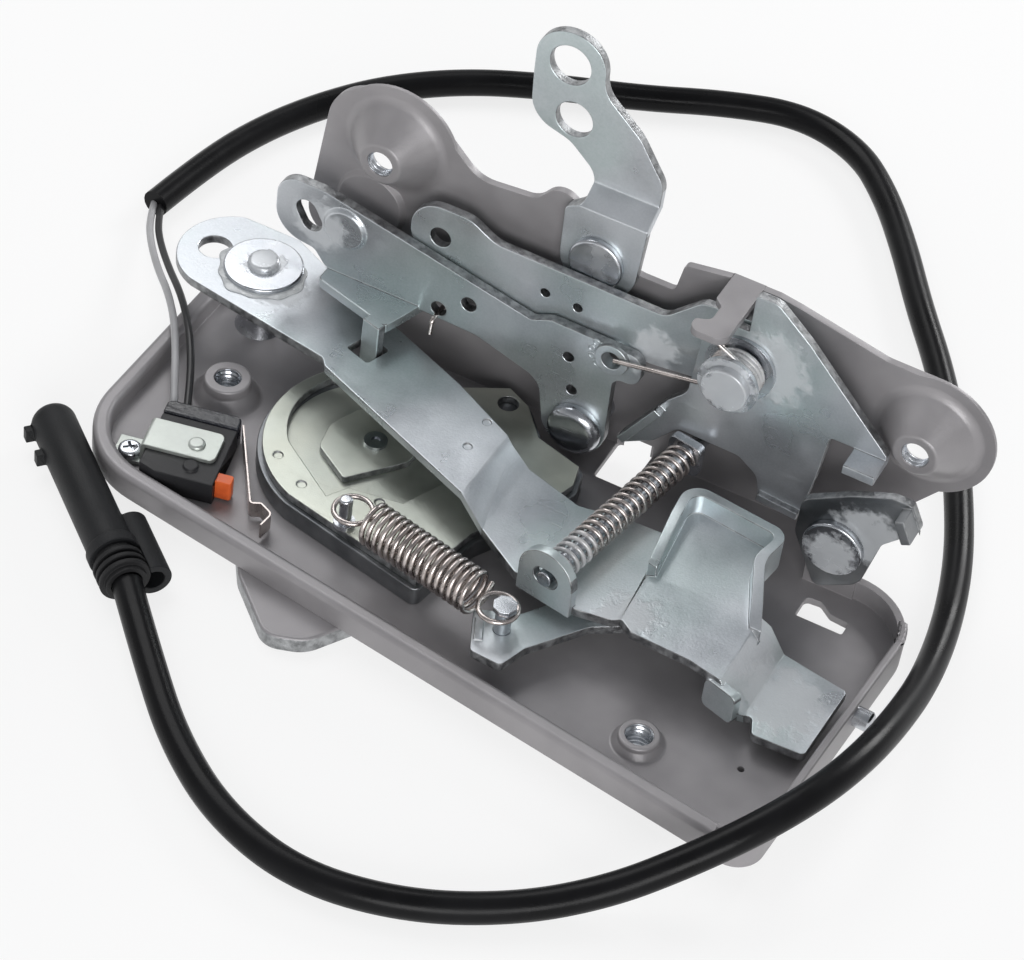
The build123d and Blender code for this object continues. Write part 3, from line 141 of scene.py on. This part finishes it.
# broad clouds, fine grain and long faint scratches, all on object coordinates in metres
surfaceGroup, groupIn, groupOut = newGroup(
    "surfaceMarks",
    [("Cloud size", 45.0), ("Grain size", 2600.0)],
    [("Cloud", "NodeSocketFloat"), ("Grain", "NodeSocketFloat"), ("Scratch", "NodeSocketFloat"),
     ("Tint", "NodeSocketFloat")],
)
markLook = {
    "cloudSpan": (0.35, 0.65),
    "scratchTurn": (0.0, 0.0, 0.5),
    "scratchScale": (60.0, 1500.0, 900.0),
    "scratchSpan": (0.6, 0.78),
    "tintShift": (0.31, 0.17, 0.05),
    "tintScale": 28.0,
    "tintSpan": (0.42, 0.6),
}
place = surfaceGroup.nodes.new("ShaderNodeTexCoord").outputs["Object"]
cloud = addNoise(surfaceGroup, place, groupIn.outputs["Cloud size"])
cloud = spread(surfaceGroup, cloud, *markLook["cloudSpan"])
grain = addNoise(surfaceGroup, place, groupIn.outputs["Grain size"], 2.0, 0.6)
stretch = surfaceGroup.nodes.new("ShaderNodeMapping")
stretch.inputs["Rotation"].default_value = markLook["scratchTurn"]
stretch.inputs["Scale"].default_value = markLook["scratchScale"]
surfaceGroup.links.new(place, stretch.inputs["Vector"])
scratch = addNoise(surfaceGroup, stretch.outputs["Vector"], 1.0, 4.0, 0.7)
scratch = spread(surfaceGroup, scratch, *markLook["scratchSpan"])
shift = surfaceGroup.nodes.new("ShaderNodeMapping")
shift.inputs["Location"].default_value = markLook["tintShift"]
surfaceGroup.links.new(place, shift.inputs["Vector"])
tint = addNoise(surfaceGroup, shift.outputs["Vector"], markLook["tintScale"], 2.0)
tint = spread(surfaceGroup, tint, *markLook["tintSpan"])
for label, value in (("Cloud", cloud), ("Grain", grain), ("Scratch", scratch), ("Tint", tint)):
    surfaceGroup.links.new(value, groupOut.inputs[label])

# how much of a smear of grease lies at a point: 1 at its middle, broken up by noise toward its rim
smearLook = {
    "patchScale": 320.0,
    "patchSpan": (0.28, 0.5),
    "rimSpan": (0.0, 0.1),
    "tone": (0.56, 0.58, 0.60),
    "strength": 0.7,
    "bump": 3.0,
}
smearGroup, groupIn, groupOut = newGroup(
    "greaseSmear", [("X", 0.0), ("Y", 0.0), ("Z", 0.0), ("Radius", 0.01)], [("Amount", "NodeSocketFloat")])
middle = smearGroup.nodes.new("ShaderNodeCombineXYZ")
for axis in "XYZ":
    smearGroup.links.new(groupIn.outputs[axis], middle.inputs[axis])
here = smearGroup.nodes.new("ShaderNodeTexCoord").outputs["Object"]
away = smearGroup.nodes.new("ShaderNodeVectorMath")
away.operation = "DISTANCE"
smearGroup.links.new(here, away.inputs[0])
smearGroup.links.new(middle.outputs[0], away.inputs[1])
share = addMath(smearGroup, "DIVIDE", away.outputs["Value"], groupIn.outputs["Radius"])
near = addMath(smearGroup, "SUBTRACT", 1.0, share)
patches = addNoise(smearGroup, here, smearLook["patchScale"], 4.0, 0.6)
patchy = addMath(smearGroup, "ADD", near, addMath(smearGroup, "SUBTRACT", patches, 0.5))
patchy = spread(smearGroup, patchy, *smearLook["patchSpan"])
amount = addMath(smearGroup, "MULTIPLY", patchy, spread(smearGroup, near, *smearLook["rimSpan"]))
smearGroup.links.new(amount, groupOut.inputs["Amount"])

# middle and radius of each smear, by the material that carries it
smears = {
    "zinc_steel": [
        (0.1255, 0.026, 0.058, 0.016), (0.160, -0.0235, 0.0135, 0.016), (0.001, 0.0225, 0.0245, 0.010),
        (0.1275, 0.0277, 0.0578, 0.013), (0.0077, 0.0275, 0.0452, 0.011), (0.0965, 0.028, 0.047, 0.010),
        (0.121, -0.0266, 0.0185, 0.012),
    ],
    "pin_steel": [
        (-0.0064, 0.027, 0.026, 0.008), (0.119, 0.020, 0.0565, 0.012), (0.1528, 0.017, 0.022, 0.010),
    ],
    "spring_steel": [(0.1225, 0.022, 0.060, 0.012), (0.1025, -0.022, 0.026, 0.012)],
    "dark_steel": [(0.160, 0.018, 0.030, 0.014)],
}


def makeMaterial(name, look):
    # A material from its look: two tones, a tint, roughness span, metal, bump and coat.
    material = bpy.data.materials.new(name)
    material.use_nodes = True
    tree = material.node_tree
    shader = tree.nodes["Principled BSDF"]
    marks = tree.nodes.new("ShaderNodeGroup")
    marks.node_tree = surfaceGroup
    marks.inputs["Cloud size"].default_value = look.get("cloud", 45.0)
    marks.inputs["Grain size"].default_value = look.get("grain", 2600.0)
    colour = addMix(tree, marks.outputs["Cloud"], look["dark"], look["light"])
    tintAmount = addMath(tree, "MULTIPLY", marks.outputs["Tint"], look.get("tintAmount", 0.0))
    colour = addMix(tree, tintAmount, colour, look.get("tint", look["light"]))
    fleck = spread(tree, marks.outputs["Grain"], 0.3, 0.7)
    fleck = addMath(tree, "MULTIPLY", fleck, look.get("fleck", 0.1))
    colour = addMix(tree, fleck, colour, look.get("fleckColour", look["light"]))
    low, high = look["rough"]
    wear = addMath(tree, "MULTIPLY", marks.outputs["Scratch"], look.get("scratch", 0.15))
    rough = addMath(tree, "ADD", addMath(tree, "MULTIPLY", marks.outputs["Cloud"], high - low), low)
    rough = addMath(tree, "ADD", rough, wear)
    dip = addMath(tree, "MULTIPLY", marks.outputs["Scratch"], -0.6)
    height = addMath(tree, "ADD", marks.outputs["Grain"], dip)
    shader.inputs["Metallic"].default_value = look.get("metal", 0.0)
    covered = 0.0
    for spot in smears.get(name, []):
        smear = tree.nodes.new("ShaderNodeGroup")
        smear.node_tree = smearGroup
        for socket, value in zip(smear.inputs, spot):
            socket.default_value = value
        covered = addMath(tree, "MAXIMUM", covered, smear.outputs["Amount"])
    if name in smears:
        covered = addMath(tree, "MULTIPLY", covered, smearLook["strength"])
        colour = addMix(tree, covered, colour, smearLook["tone"])
        height = addMath(tree, "ADD", height, addMath(tree, "MULTIPLY", covered, smearLook["bump"]))
        bare = addMath(tree, "SUBTRACT", 1.0, covered)
        tree.links.new(addMath(tree, "MULTIPLY", bare, look.get("metal", 0.0)), shader.inputs["Metallic"])
    tree.links.new(colour, shader.inputs["Base Color"])
    tree.links.new(rough, shader.inputs["Roughness"])
    shader.inputs["Coat Weight"].default_value = look.get("coat", 0.0)
    shader.inputs["Coat Roughness"].default_value = 0.15
    shader.inputs["Specular IOR Level"].default_value = look.get("shine", 0.5)
    bump = tree.nodes.new("ShaderNodeBump")
    bump.inputs["Strength"].default_value = look.get("bump", 0.1)
    bump.inputs["Distance"].default_value = look.get("bumpDepth", 0.0002)
    tree.links.new(height, bump.inputs["Height"])
    tree.links.new(bump.outputs["Normal"], shader.inputs["Normal"])
    return material


looks = {
    "coated_grey": {"dark": (0.27, 0.26, 0.268), "light": (0.345, 0.332, 0.342), "rough": (0.38, 0.48),
                    "metal": 0.35, "bump": 0.12, "fleck": 0.12, "scratch": 0.08},
    "zinc_steel": {"dark": (0.50, 0.53, 0.56), "light": (0.64, 0.67, 0.70), "tint": (0.50, 0.62, 0.60),
                   "tintAmount": 0.5, "rough": (0.27, 0.4), "metal": 0.82, "bump": 0.16, "cloud": 60.0,
                   "grain": 1700.0, "fleck": 0.25, "fleckColour": (0.78, 0.80, 0.84)},
    "yellow_zinc": {"dark": (0.46, 0.49, 0.44), "light": (0.60, 0.63, 0.57), "tint": (0.56, 0.55, 0.44),
                    "tintAmount": 0.4, "rough": (0.28, 0.42), "metal": 0.8, "bump": 0.14, "cloud": 70.0},
    "dark_steel": {"dark": (0.17, 0.18, 0.19), "light": (0.30, 0.31, 0.32), "rough": (0.32, 0.48),
                   "metal": 1.0, "bump": 0.2, "cloud": 80.0},
    "pin_steel": {"dark": (0.42, 0.44, 0.47), "light": (0.62, 0.64, 0.67), "rough": (0.16, 0.3),
                  "metal": 1.0, "bump": 0.06, "cloud": 120.0},
    "spring_steel": {"dark": (0.40, 0.36, 0.345), "light": (0.66, 0.60, 0.57), "rough": (0.2, 0.34),
                     "metal": 1.0, "bump": 0.08, "cloud": 200.0},
    "bracket_steel": {"dark": (0.44, 0.47, 0.44), "light": (0.60, 0.63, 0.60), "rough": (0.34, 0.5),
                      "metal": 0.8, "bump": 0.1, "cloud": 90.0},
    "black_plastic": {"dark": (0.010, 0.010, 0.012), "light": (0.022, 0.022, 0.024), "rough": (0.38, 0.55),
                      "bump": 0.25, "fleck": 0.05, "grain": 3500.0},
    "potting_black": {"dark": (0.008, 0.009, 0.012), "light": (0.02, 0.022, 0.03), "rough": (0.12, 0.3),
                      "bump": 0.5, "grain": 900.0, "bumpDepth": 0.0006, "coat": 0.3},
    "orange_plastic": {"dark": (0.62, 0.09, 0.02), "light": (0.85, 0.17, 0.04), "rough": (0.3, 0.45),
                       "bump": 0.1, "cloud": 200.0},
    "grey_insulation": {"dark": (0.33, 0.33, 0.34), "light": (0.43, 0.43, 0.44), "rough": (0.34, 0.46),
                        "bump": 0.1},
    "black_insulation": {"dark": (0.012, 0.012, 0.013), "light": (0.022, 0.022, 0.024), "rough": (0.3, 0.42),
                         "bump": 0.1},
    "cable_sheath": {"dark": (0.005, 0.005, 0.0055), "light": (0.009, 0.009, 0.010), "rough": (0.24, 0.36),
                     "bump": 0.1, "grain": 1500.0, "shine": 0.13},
    "connector_plastic": {"dark": (0.008, 0.0085, 0.0095), "light": (0.015, 0.0155, 0.017),
                          "rough": (0.42, 0.58), "bump": 0.3, "grain": 3200.0, "shine": 0.25},
    "connector_rubber": {"dark": (0.006, 0.006, 0.0065), "light": (0.012, 0.012, 0.013), "rough": (0.46, 0.6),
                         "bump": 0.3, "shine": 0.3},
    "cutEdge": {"dark": (0.20, 0.205, 0.21), "light": (0.44, 0.45, 0.46), "rough": (0.34, 0.55),
                "metal": 1.0, "bump": 0.45, "cloud": 500.0, "grain": 1800.0, "bumpDepth": 0.0004},
    "grease": {"dark": (0.46, 0.48, 0.49), "light": (0.62, 0.64, 0.65), "rough": (0.18, 0.32), "bump": 0.5,
               "grain": 500.0, "cloud": 300.0, "bumpDepth": 0.0006, "coat": 0.5},
}
materials = {name: makeMaterial(name, look) for name, look in looks.items()}
print("materials made:", len(materials))


# cords first: the same points as the source, in metres
def makeCord(name, points, diameter, slot):
    # A smooth curve with the route's points as its control points.
    curve = bpy.data.curves.new(name, "CURVE")
    curve.dimensions = "3D"
    curve.bevel_depth = diameter / 2
    curve.bevel_resolution = 6
    curve.resolution_u = 10
    curve.use_fill_caps = True
    spline = curve.splines.new("NURBS")
    spline.points.add(len(points) - 1)
    route = np.array([(x / 1000, y / 1000, z / 1000, 1.0) for x, y, z in points])
    spline.points.foreach_set("co", route.ravel())
    spline.order_u = 3
    spline.use_endpoint_u = True
    piece = bpy.data.objects.new(name, curve)
    scene.collection.objects.link(piece)
    curve.materials.append(materials[slot])
    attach(piece, "base")
    return piece


# height of the cable's centre line where it lies on the floor, in mm
low = 3.75
cableLook = {"diameter": 0.0074, "length": 0.6949}
cablePoints = [
    (-53.8, 55.0, low), (-51.8, 74.0, low), (-47.4, 94.5, low), (-39.2, 114.0, low), (-27.5, 132.0, low),
    (-10.6, 147.6, low), (10.0, 159.0, low), (32.6, 168.6, low), (53.0, 180.0, low), (73.4, 187.6, low),
    (93.2, 182.0, low), (107.2, 167.9, low), (120.0, 150.0, low), (132.0, 131.0, low), (144.8, 112.8, low),
    (156.6, 93.0, low), (167.0, 71.6, low), (175.8, 50.0, low), (181.5, 28.0, 4.0), (184.6, 4.6, 8.0),
    (185.2, -18.0, 15.4), (183.9, -37.0, 20.4), (179.8, -53.2, 21.8), (172.6, -67.8, 20.4),
    (161.6, -79.2, 13.6), (148.7, -90.1, 6.2), (133.0, -103.2, low), (112.4, -115.2, low),
    (88.6, -120.2, low), (65.8, -114.2, low), (46.4, -101.2, low), (29.8, -85.0, 4.8), (13.3, -67.8, 6.25),
]
cable = makeCord("cableSheath", cablePoints, cableLook["diameter"], "cable_sheath")
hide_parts("cable")
wireLook = {"diameter": 0.0019, "length": 0.0897}
greyPoints = [
    (-5.2, -16.6, 11.0), (-9.6, -9.2, 12.8), (-14.6, -0.6, 14.6), (-20.6, 8.6, 14.8), (-28.0, 18.0, 13.0),
    (-37.2, 28.4, 8.8), (-46.0, 39.6, 5.6), (-51.4, 48.0, 4.2), (-54.6, 56.0, 3.4),
]
blackPoints = [
    (-2.2, -15.8, 11.0), (-6.4, -7.2, 12.8), (-11.4, 1.4, 14.6), (-17.8, 10.2, 14.8), (-25.4, 19.6, 13.0),
    (-34.8, 30.0, 8.8), (-44.0, 41.0, 5.4), (-49.2, 48.6, 4.0), (-52.6, 56.0, 3.4),
]
greyWire = makeCord("greyLead", greyPoints, wireLook["diameter"], "grey_insulation")
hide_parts("grey_wire")
blackWire = makeCord("blackLead", blackPoints, wireLook["diameter"], "black_insulation")
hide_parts("black_wire")
print("cords laid")


# the imported solids, merged, with eased edges and finished faces
# springs, by the piece at one end and the piece at the other, from start to end; their skins are baked in
# place and attached to no body, and nothing here makes them give way
stretched = {
    "return_spring": ("main_lever", "base", (0.1015, -0.026, 0.025), (0.110, 0.022, 0.025)),
    "tension_spring": ("base", "lower_lever", (0.056, -0.0318, 0.0202), (0.088, -0.0386, 0.0202)),
    "torsion_spring": ("base", "locking_bar", (0.1085, 0.0252, 0.0495), (0.0895, 0.0252, 0.0428)),
}


# angles in degrees; cutShare is the most that a cut edge's normal leans along the sheet's
skinLook = {"mergeWithin": 2e-6, "flatWithin": 0.6, "cornerFrom": 38, "steps": 2, "cutShare": 0.45}


def dressNode(name, easing, sheet=None, gauge=0.0):
    # A copy of the solid with its triangles joined into faces and its edges eased.
    # Faces whose normal lies across the sheet's own normal, no deeper than the gauge, are cut edges.
    mesh = nodes[name].data.copy()
    mesh.name = name + "Skin"
    shape = bmesh.new()
    shape.from_mesh(mesh)
    bmesh.ops.remove_doubles(shape, verts=shape.verts, dist=skinLook["mergeWithin"])
    bmesh.ops.dissolve_limit(shape, angle_limit=math.radians(skinLook["flatWithin"]),
                             verts=shape.verts, edges=shape.edges)
    cornerAngle = math.radians(skinLook["cornerFrom"])
    if easing:
        corners = [e for e in shape.edges if e.is_manifold and e.calc_face_angle() > cornerAngle]
        bmesh.ops.bevel(shape, geom=corners, offset=easing, offset_type="OFFSET",
                        segments=skinLook["steps"], profile=0.5, affect="EDGES", clamp_overlap=False)
    shape.to_mesh(mesh)
    shape.free()
    mesh.materials.clear()
    mesh.materials.append(materials[slotOf[name]])
    count = len(mesh.polygons)
    mesh.polygons.foreach_set("use_smooth", np.ones(count, bool))
    loops = np.empty(len(mesh.loops), int)
    mesh.loops.foreach_get("vertex_index", loops)
    starts = np.empty(count, int)
    mesh.polygons.foreach_get("loop_start", starts)
    totals = np.empty(count, int)
    mesh.polygons.foreach_get("loop_total", totals)
    normals = np.empty(count * 3)
    mesh.polygons.foreach_get("normal", normals)
    normals = normals.reshape(-1, 3)
    if easing:
        # each point's normal = sum over its faces of area * face normal, so that flats stay flat
        areas = np.empty(count)
        mesh.polygons.foreach_get("area", areas)
        weighted = np.repeat(normals * areas[:, None], totals, axis=0)
        summed = np.stack([np.bincount(loops, weighted[:, k], len(mesh.vertices)) for k in range(3)], -1)
        summed /= np.maximum(np.linalg.norm(summed, axis=1, keepdims=True), 1e-12)
        mesh.normals_split_custom_set_from_vertices(summed)
    else:
        mesh.set_sharp_from_angle(angle=cornerAngle)
    if sheet is not None:
        mesh.materials.append(materials["cutEdge"])
        across = np.abs(normals @ np.array(sheet, float)) < skinLook["cutShare"]
        points = np.empty(len(mesh.vertices) * 3)
        mesh.vertices.foreach_get("co", points)
        high = points.reshape(-1, 3)[:, int(np.argmax(np.abs(sheet)))]
        span = np.maximum.reduceat(high[loops], starts) - np.minimum.reduceat(high[loops], starts)
        mesh.polygons.foreach_set("material_index", (across & (span < gauge)).astype(np.int32))
    piece = bpy.data.objects.new(name + "Skin", mesh)
    scene.collection.objects.link(piece)
    if name in stretched:
        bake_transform(piece)
    else:
        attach(piece, bodyOf[name])
    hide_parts(name)
    return piece


# by node: width of the eased edge, the sheet's own normal, and the deepest face that is a cut edge
upright, flat = (0, 1, 0), (0, 0, 1)
sheetLooks = {
    "base_plate": (0.00015, None, 0), "back_plate": (0.0004, flat, 0.0055),
    "main_lever": (0.0003, flat, 0.0036), "lower_lever": (0.00025, flat, 0.003),
    "locking_bar": (0.0003, upright, 0.0033), "link_bar": (0.0003, upright, 0.003),
    "control_arm": (0.0003, upright, 0.0042), "release_plate": (0.00028, upright, 0.003),
    "release_pawl": (0.0003, upright, 0.003), "latch_housing": (0.0004, None, 0),
    "latch_cover": (0.0003, flat, 0.0025), "latch_rotor": (0.0001, None, 0),
    "rotor_stop": (0.0003, flat, 0.0023), "post_washer": (0.0001, None, 0),
    "rear_washer": (0.0001, None, 0), "front_washer": (0.0001, None, 0),
    "switch_case": (0.0003, None, 0), "switch_potting": (0.0005, None, 0),
    "switch_bracket": (0.0002, None, 0), "switch_plunger": (0.0002, None, 0),
    "switch_leaf": (0.00008, None, 0), "connector_body": (0.0003, None, 0),
    "connector_collar": (0.0002, None, 0), "spring_peg": (0.0002, None, 0),
    "guide_rod": (0.0003, None, 0),
}
for nodeName in nodes:
    if nodeName in ("cable", "grey_wire", "black_wire"):
        continue
    easing, sheet, gauge = sheetLooks.get(nodeName, (0, None, 0))
    dressNode(nodeName, easing, sheet, gauge)


# threads in the four tapped holes
def gridPiece(name, grid, material, body):
    # A closed surface from a grid of points, joined to itself along both parameters.
    rows, cols = grid.shape[:2]
    index = np.arange(rows * cols).reshape(rows, cols)
    nextRow = np.roll(index, -1, 0)
    quads = np.stack([index, nextRow, np.roll(nextRow, -1, 1), np.roll(index, -1, 1)], -1)
    mesh = bpy.data.meshes.new(name)
    mesh.from_pydata(grid.reshape(-1, 3).tolist(), [], quads.reshape(-1, 4).tolist())
    mesh.polygons.foreach_set("use_smooth", np.ones(len(mesh.polygons), bool))
    shape = bmesh.new()
    shape.from_mesh(mesh)
    bmesh.ops.recalc_face_normals(shape, faces=shape.faces)
    shape.to_mesh(mesh)
    shape.free()
    mesh.materials.append(materials[material])
    piece = bpy.data.objects.new(name, mesh)
    scene.collection.objects.link(piece)
    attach(piece, body)
    return piece


threadLook = {
    "wall": 3.37, "skin": 0.05, "depth": 0.42, "pitch": 1.25, "runOut": 0.5, "around": 72, "rows": 14,
}
# start of each hole, its axis and its length, in mm
tappedHoles = {
    "floorBossThread": ((0, 0, 5.2), (0, 0, 1), 6.6),
    "frontBossThread": ((135.6, -47.9, 1.2), (0, 0, 1), 7.8),
    "leftConeThread": ((21.0, 29.9, 68.8), (0, 1, 0), 2.8),
    "rightConeThread": ((163.4, 29.9, 48.8), (0, 1, 0), 2.8),
}
for name, (start, axis, length) in tappedHoles.items():
    # radius = wall - skin - depth * triangle wave of (height / pitch - turn), fading out at both ends
    around = np.linspace(0, 2 * np.pi, threadLook["around"], endpoint=False)[None, :]
    height = np.linspace(0, length, int(length / threadLook["pitch"] * threadLook["rows"]))[:, None]
    wave = np.abs(((height / threadLook["pitch"] - around / (2 * np.pi)) % 1) * 2 - 1)
    fade = np.clip(np.minimum(height, length - height) / threadLook["runOut"], 0, 1)
    radius = threadLook["wall"] - threadLook["skin"] - threadLook["depth"] * wave * fade
    inner = np.stack([radius * np.cos(around), radius * np.sin(around), height + 0 * around], -1)
    outer = np.stack([threadLook["wall"] * np.cos(around) + 0 * height,
                      threadLook["wall"] * np.sin(around) + 0 * height, height + 0 * around], -1)[[-1, 0]]
    grid = np.concatenate([inner, outer])
    if axis[1]:
        grid = grid[..., [0, 2, 1]]
    gridPiece(name, (grid + np.array(start)) / 1000, "pin_steel", "base")
print("threads cut")

# raised rims of the punch marks round the spring's hole in the locking bar
punchLook = {"ring": 0.75, "tube": 0.28, "face": 27.5,
             "places": [(82.9, 44.8), (81.9, 42.7), (82.2, 40.5), (83.7, 38.7), (85.9, 37.9)]}
for number, (x, z) in enumerate(punchLook["places"]):
    # torus, half sunk in the bar's face: ring + tube * cos(v) round the mark's middle
    u = np.linspace(0, 2 * np.pi, 24, endpoint=False)[:, None]
    v = np.linspace(0, 2 * np.pi, 10, endpoint=False)[None, :]
    radius = punchLook["ring"] + punchLook["tube"] * np.cos(v)
    grid = np.stack([x + radius * np.cos(u), punchLook["face"] + punchLook["tube"] * np.sin(v) + 0 * u,
                     z + radius * np.sin(u)], -1)
    gridPiece("barPunchMark%d" % number, grid / 1000, "zinc_steel", "locking_bar")

# grease squeezed out round the post's washer
greaseLook = {
    "centre": (-6.4, 27.0, 24.62), "ring": 9.8, "width": 2.3, "height": 0.5, "from": 150, "to": 400,
    "along": 90, "round": 20,
}
# a bead along an arc: its width and height swell and thin with a few sines along the arc
along = np.linspace(0, 1, greaseLook["along"])[:, None]
section = np.linspace(0, 2 * np.pi, greaseLook["round"], endpoint=False)[None, :]
taper = np.clip(np.minimum(along, 1 - along) / 0.12, 0.02, 1) ** 0.5
swell = taper * (0.72 + 0.2 * np.sin(along * 19) + 0.14 * np.sin(along * 47 + 1.3))
angle = np.radians(greaseLook["from"] + (greaseLook["to"] - greaseLook["from"]) * along)
radius = greaseLook["ring"] + greaseLook["width"] * swell * np.cos(section)
rise = greaseLook["height"] * swell * np.maximum(np.sin(section), -0.1)
grid = np.stack([radius * np.cos(angle), radius * np.sin(angle), rise], -1)
gridPiece("postGrease", (grid + np.array(greaseLook["centre"])) / 1000, "grease", "main_lever")
print("grease laid")

# floor, world and lamps
studio = {
    "floorTone": 0.82, "floorHalf": 6, "floorTop": -0.0002, "whiteShare": 0.8, "sky": 0.62,
    "skyLow": (0.95, 0.95, 0.95, 1), "skyHigh": (0.42, 0.43, 0.45, 1), "skySpan": (0.1, 0.75),
}
floorMesh = bpy.data.meshes.new("studioFloor")
half, top = studio["floorHalf"], studio["floorTop"]
floorMesh.from_pydata([(-half, -half, top), (half, -half, top), (half, half, top), (-half, half, top)],
                      [], [(0, 1, 2, 3)])
floor = bpy.data.objects.new("studioFloor", floorMesh)
scene.collection.objects.link(floor)
floorMaterial = bpy.data.materials.new("studioFloor")
floorMaterial.use_nodes = True
tree = floorMaterial.node_tree
tree.nodes.clear()
out = tree.nodes.new("ShaderNodeOutputMaterial")
matt = tree.nodes.new("ShaderNodeBsdfDiffuse")
matt.inputs["Color"].default_value = (*[studio["floorTone"]] * 3, 1)
white = tree.nodes.new("ShaderNodeEmission")
rays = tree.nodes.new("ShaderNodeLightPath")
seen = addMath(tree, "MAXIMUM", rays.outputs["Is Camera Ray"], rays.outputs["Is Glossy Ray"])
seen = addMath(tree, "MAXIMUM", seen, rays.outputs["Is Transmission Ray"])
mixer = tree.nodes.new("ShaderNodeMixShader")
tree.links.new(addMath(tree, "MULTIPLY", seen, studio["whiteShare"]), mixer.inputs[0])
tree.links.new(matt.outputs[0], mixer.inputs[1])
tree.links.new(white.outputs[0], mixer.inputs[2])
tree.links.new(mixer.outputs[0], out.inputs["Surface"])
floorMesh.materials.append(floorMaterial)

world = bpy.data.worlds.new("studioWorld")
scene.world = world
world.use_nodes = True
tree = world.node_tree
sky = tree.nodes["Background"]
direction = tree.nodes.new("ShaderNodeTexCoord").outputs["Generated"]
parts = tree.nodes.new("ShaderNodeSeparateXYZ")
tree.links.new(direction, parts.inputs[0])
ramp = tree.nodes.new("ShaderNodeValToRGB")
tree.links.new(parts.outputs["Z"], ramp.inputs[0])
horizon, zenith = ramp.color_ramp.elements
horizon.color, zenith.color = studio["skyLow"], studio["skyHigh"]
horizon.position, zenith.position = studio["skySpan"]
tree.links.new(ramp.outputs[0], sky.inputs["Color"])
sky.inputs["Strength"].default_value = studio["sky"]

lamps = {
    "keyLamp": {"place": (-0.5, 0.35, 0.9), "size": 0.9, "power": 4.6},
    "fillLamp": {"place": (0.6, -1.0, 0.45), "size": 0.8, "power": 8.0},
    "backLamp": {"place": (0.35, 0.9, 0.5), "size": 0.45, "power": 5.0},
}
aim = Vector((0.08, 0.0, 0.03))
for name, look in lamps.items():
    light = bpy.data.lights.new(name, "AREA")
    light.shape = "RECTANGLE"
    light.size = look["size"]
    light.size_y = look["size"] * 0.6
    light.energy = look["power"]
    lamp = bpy.data.objects.new(name, light)
    scene.collection.objects.link(lamp)
    place = Vector(look["place"])
    facing = (place - aim).to_track_quat("Z", "Y").to_matrix().to_4x4()
    lamp.matrix_world = Matrix.Translation(place) @ facing
print("studio lit")
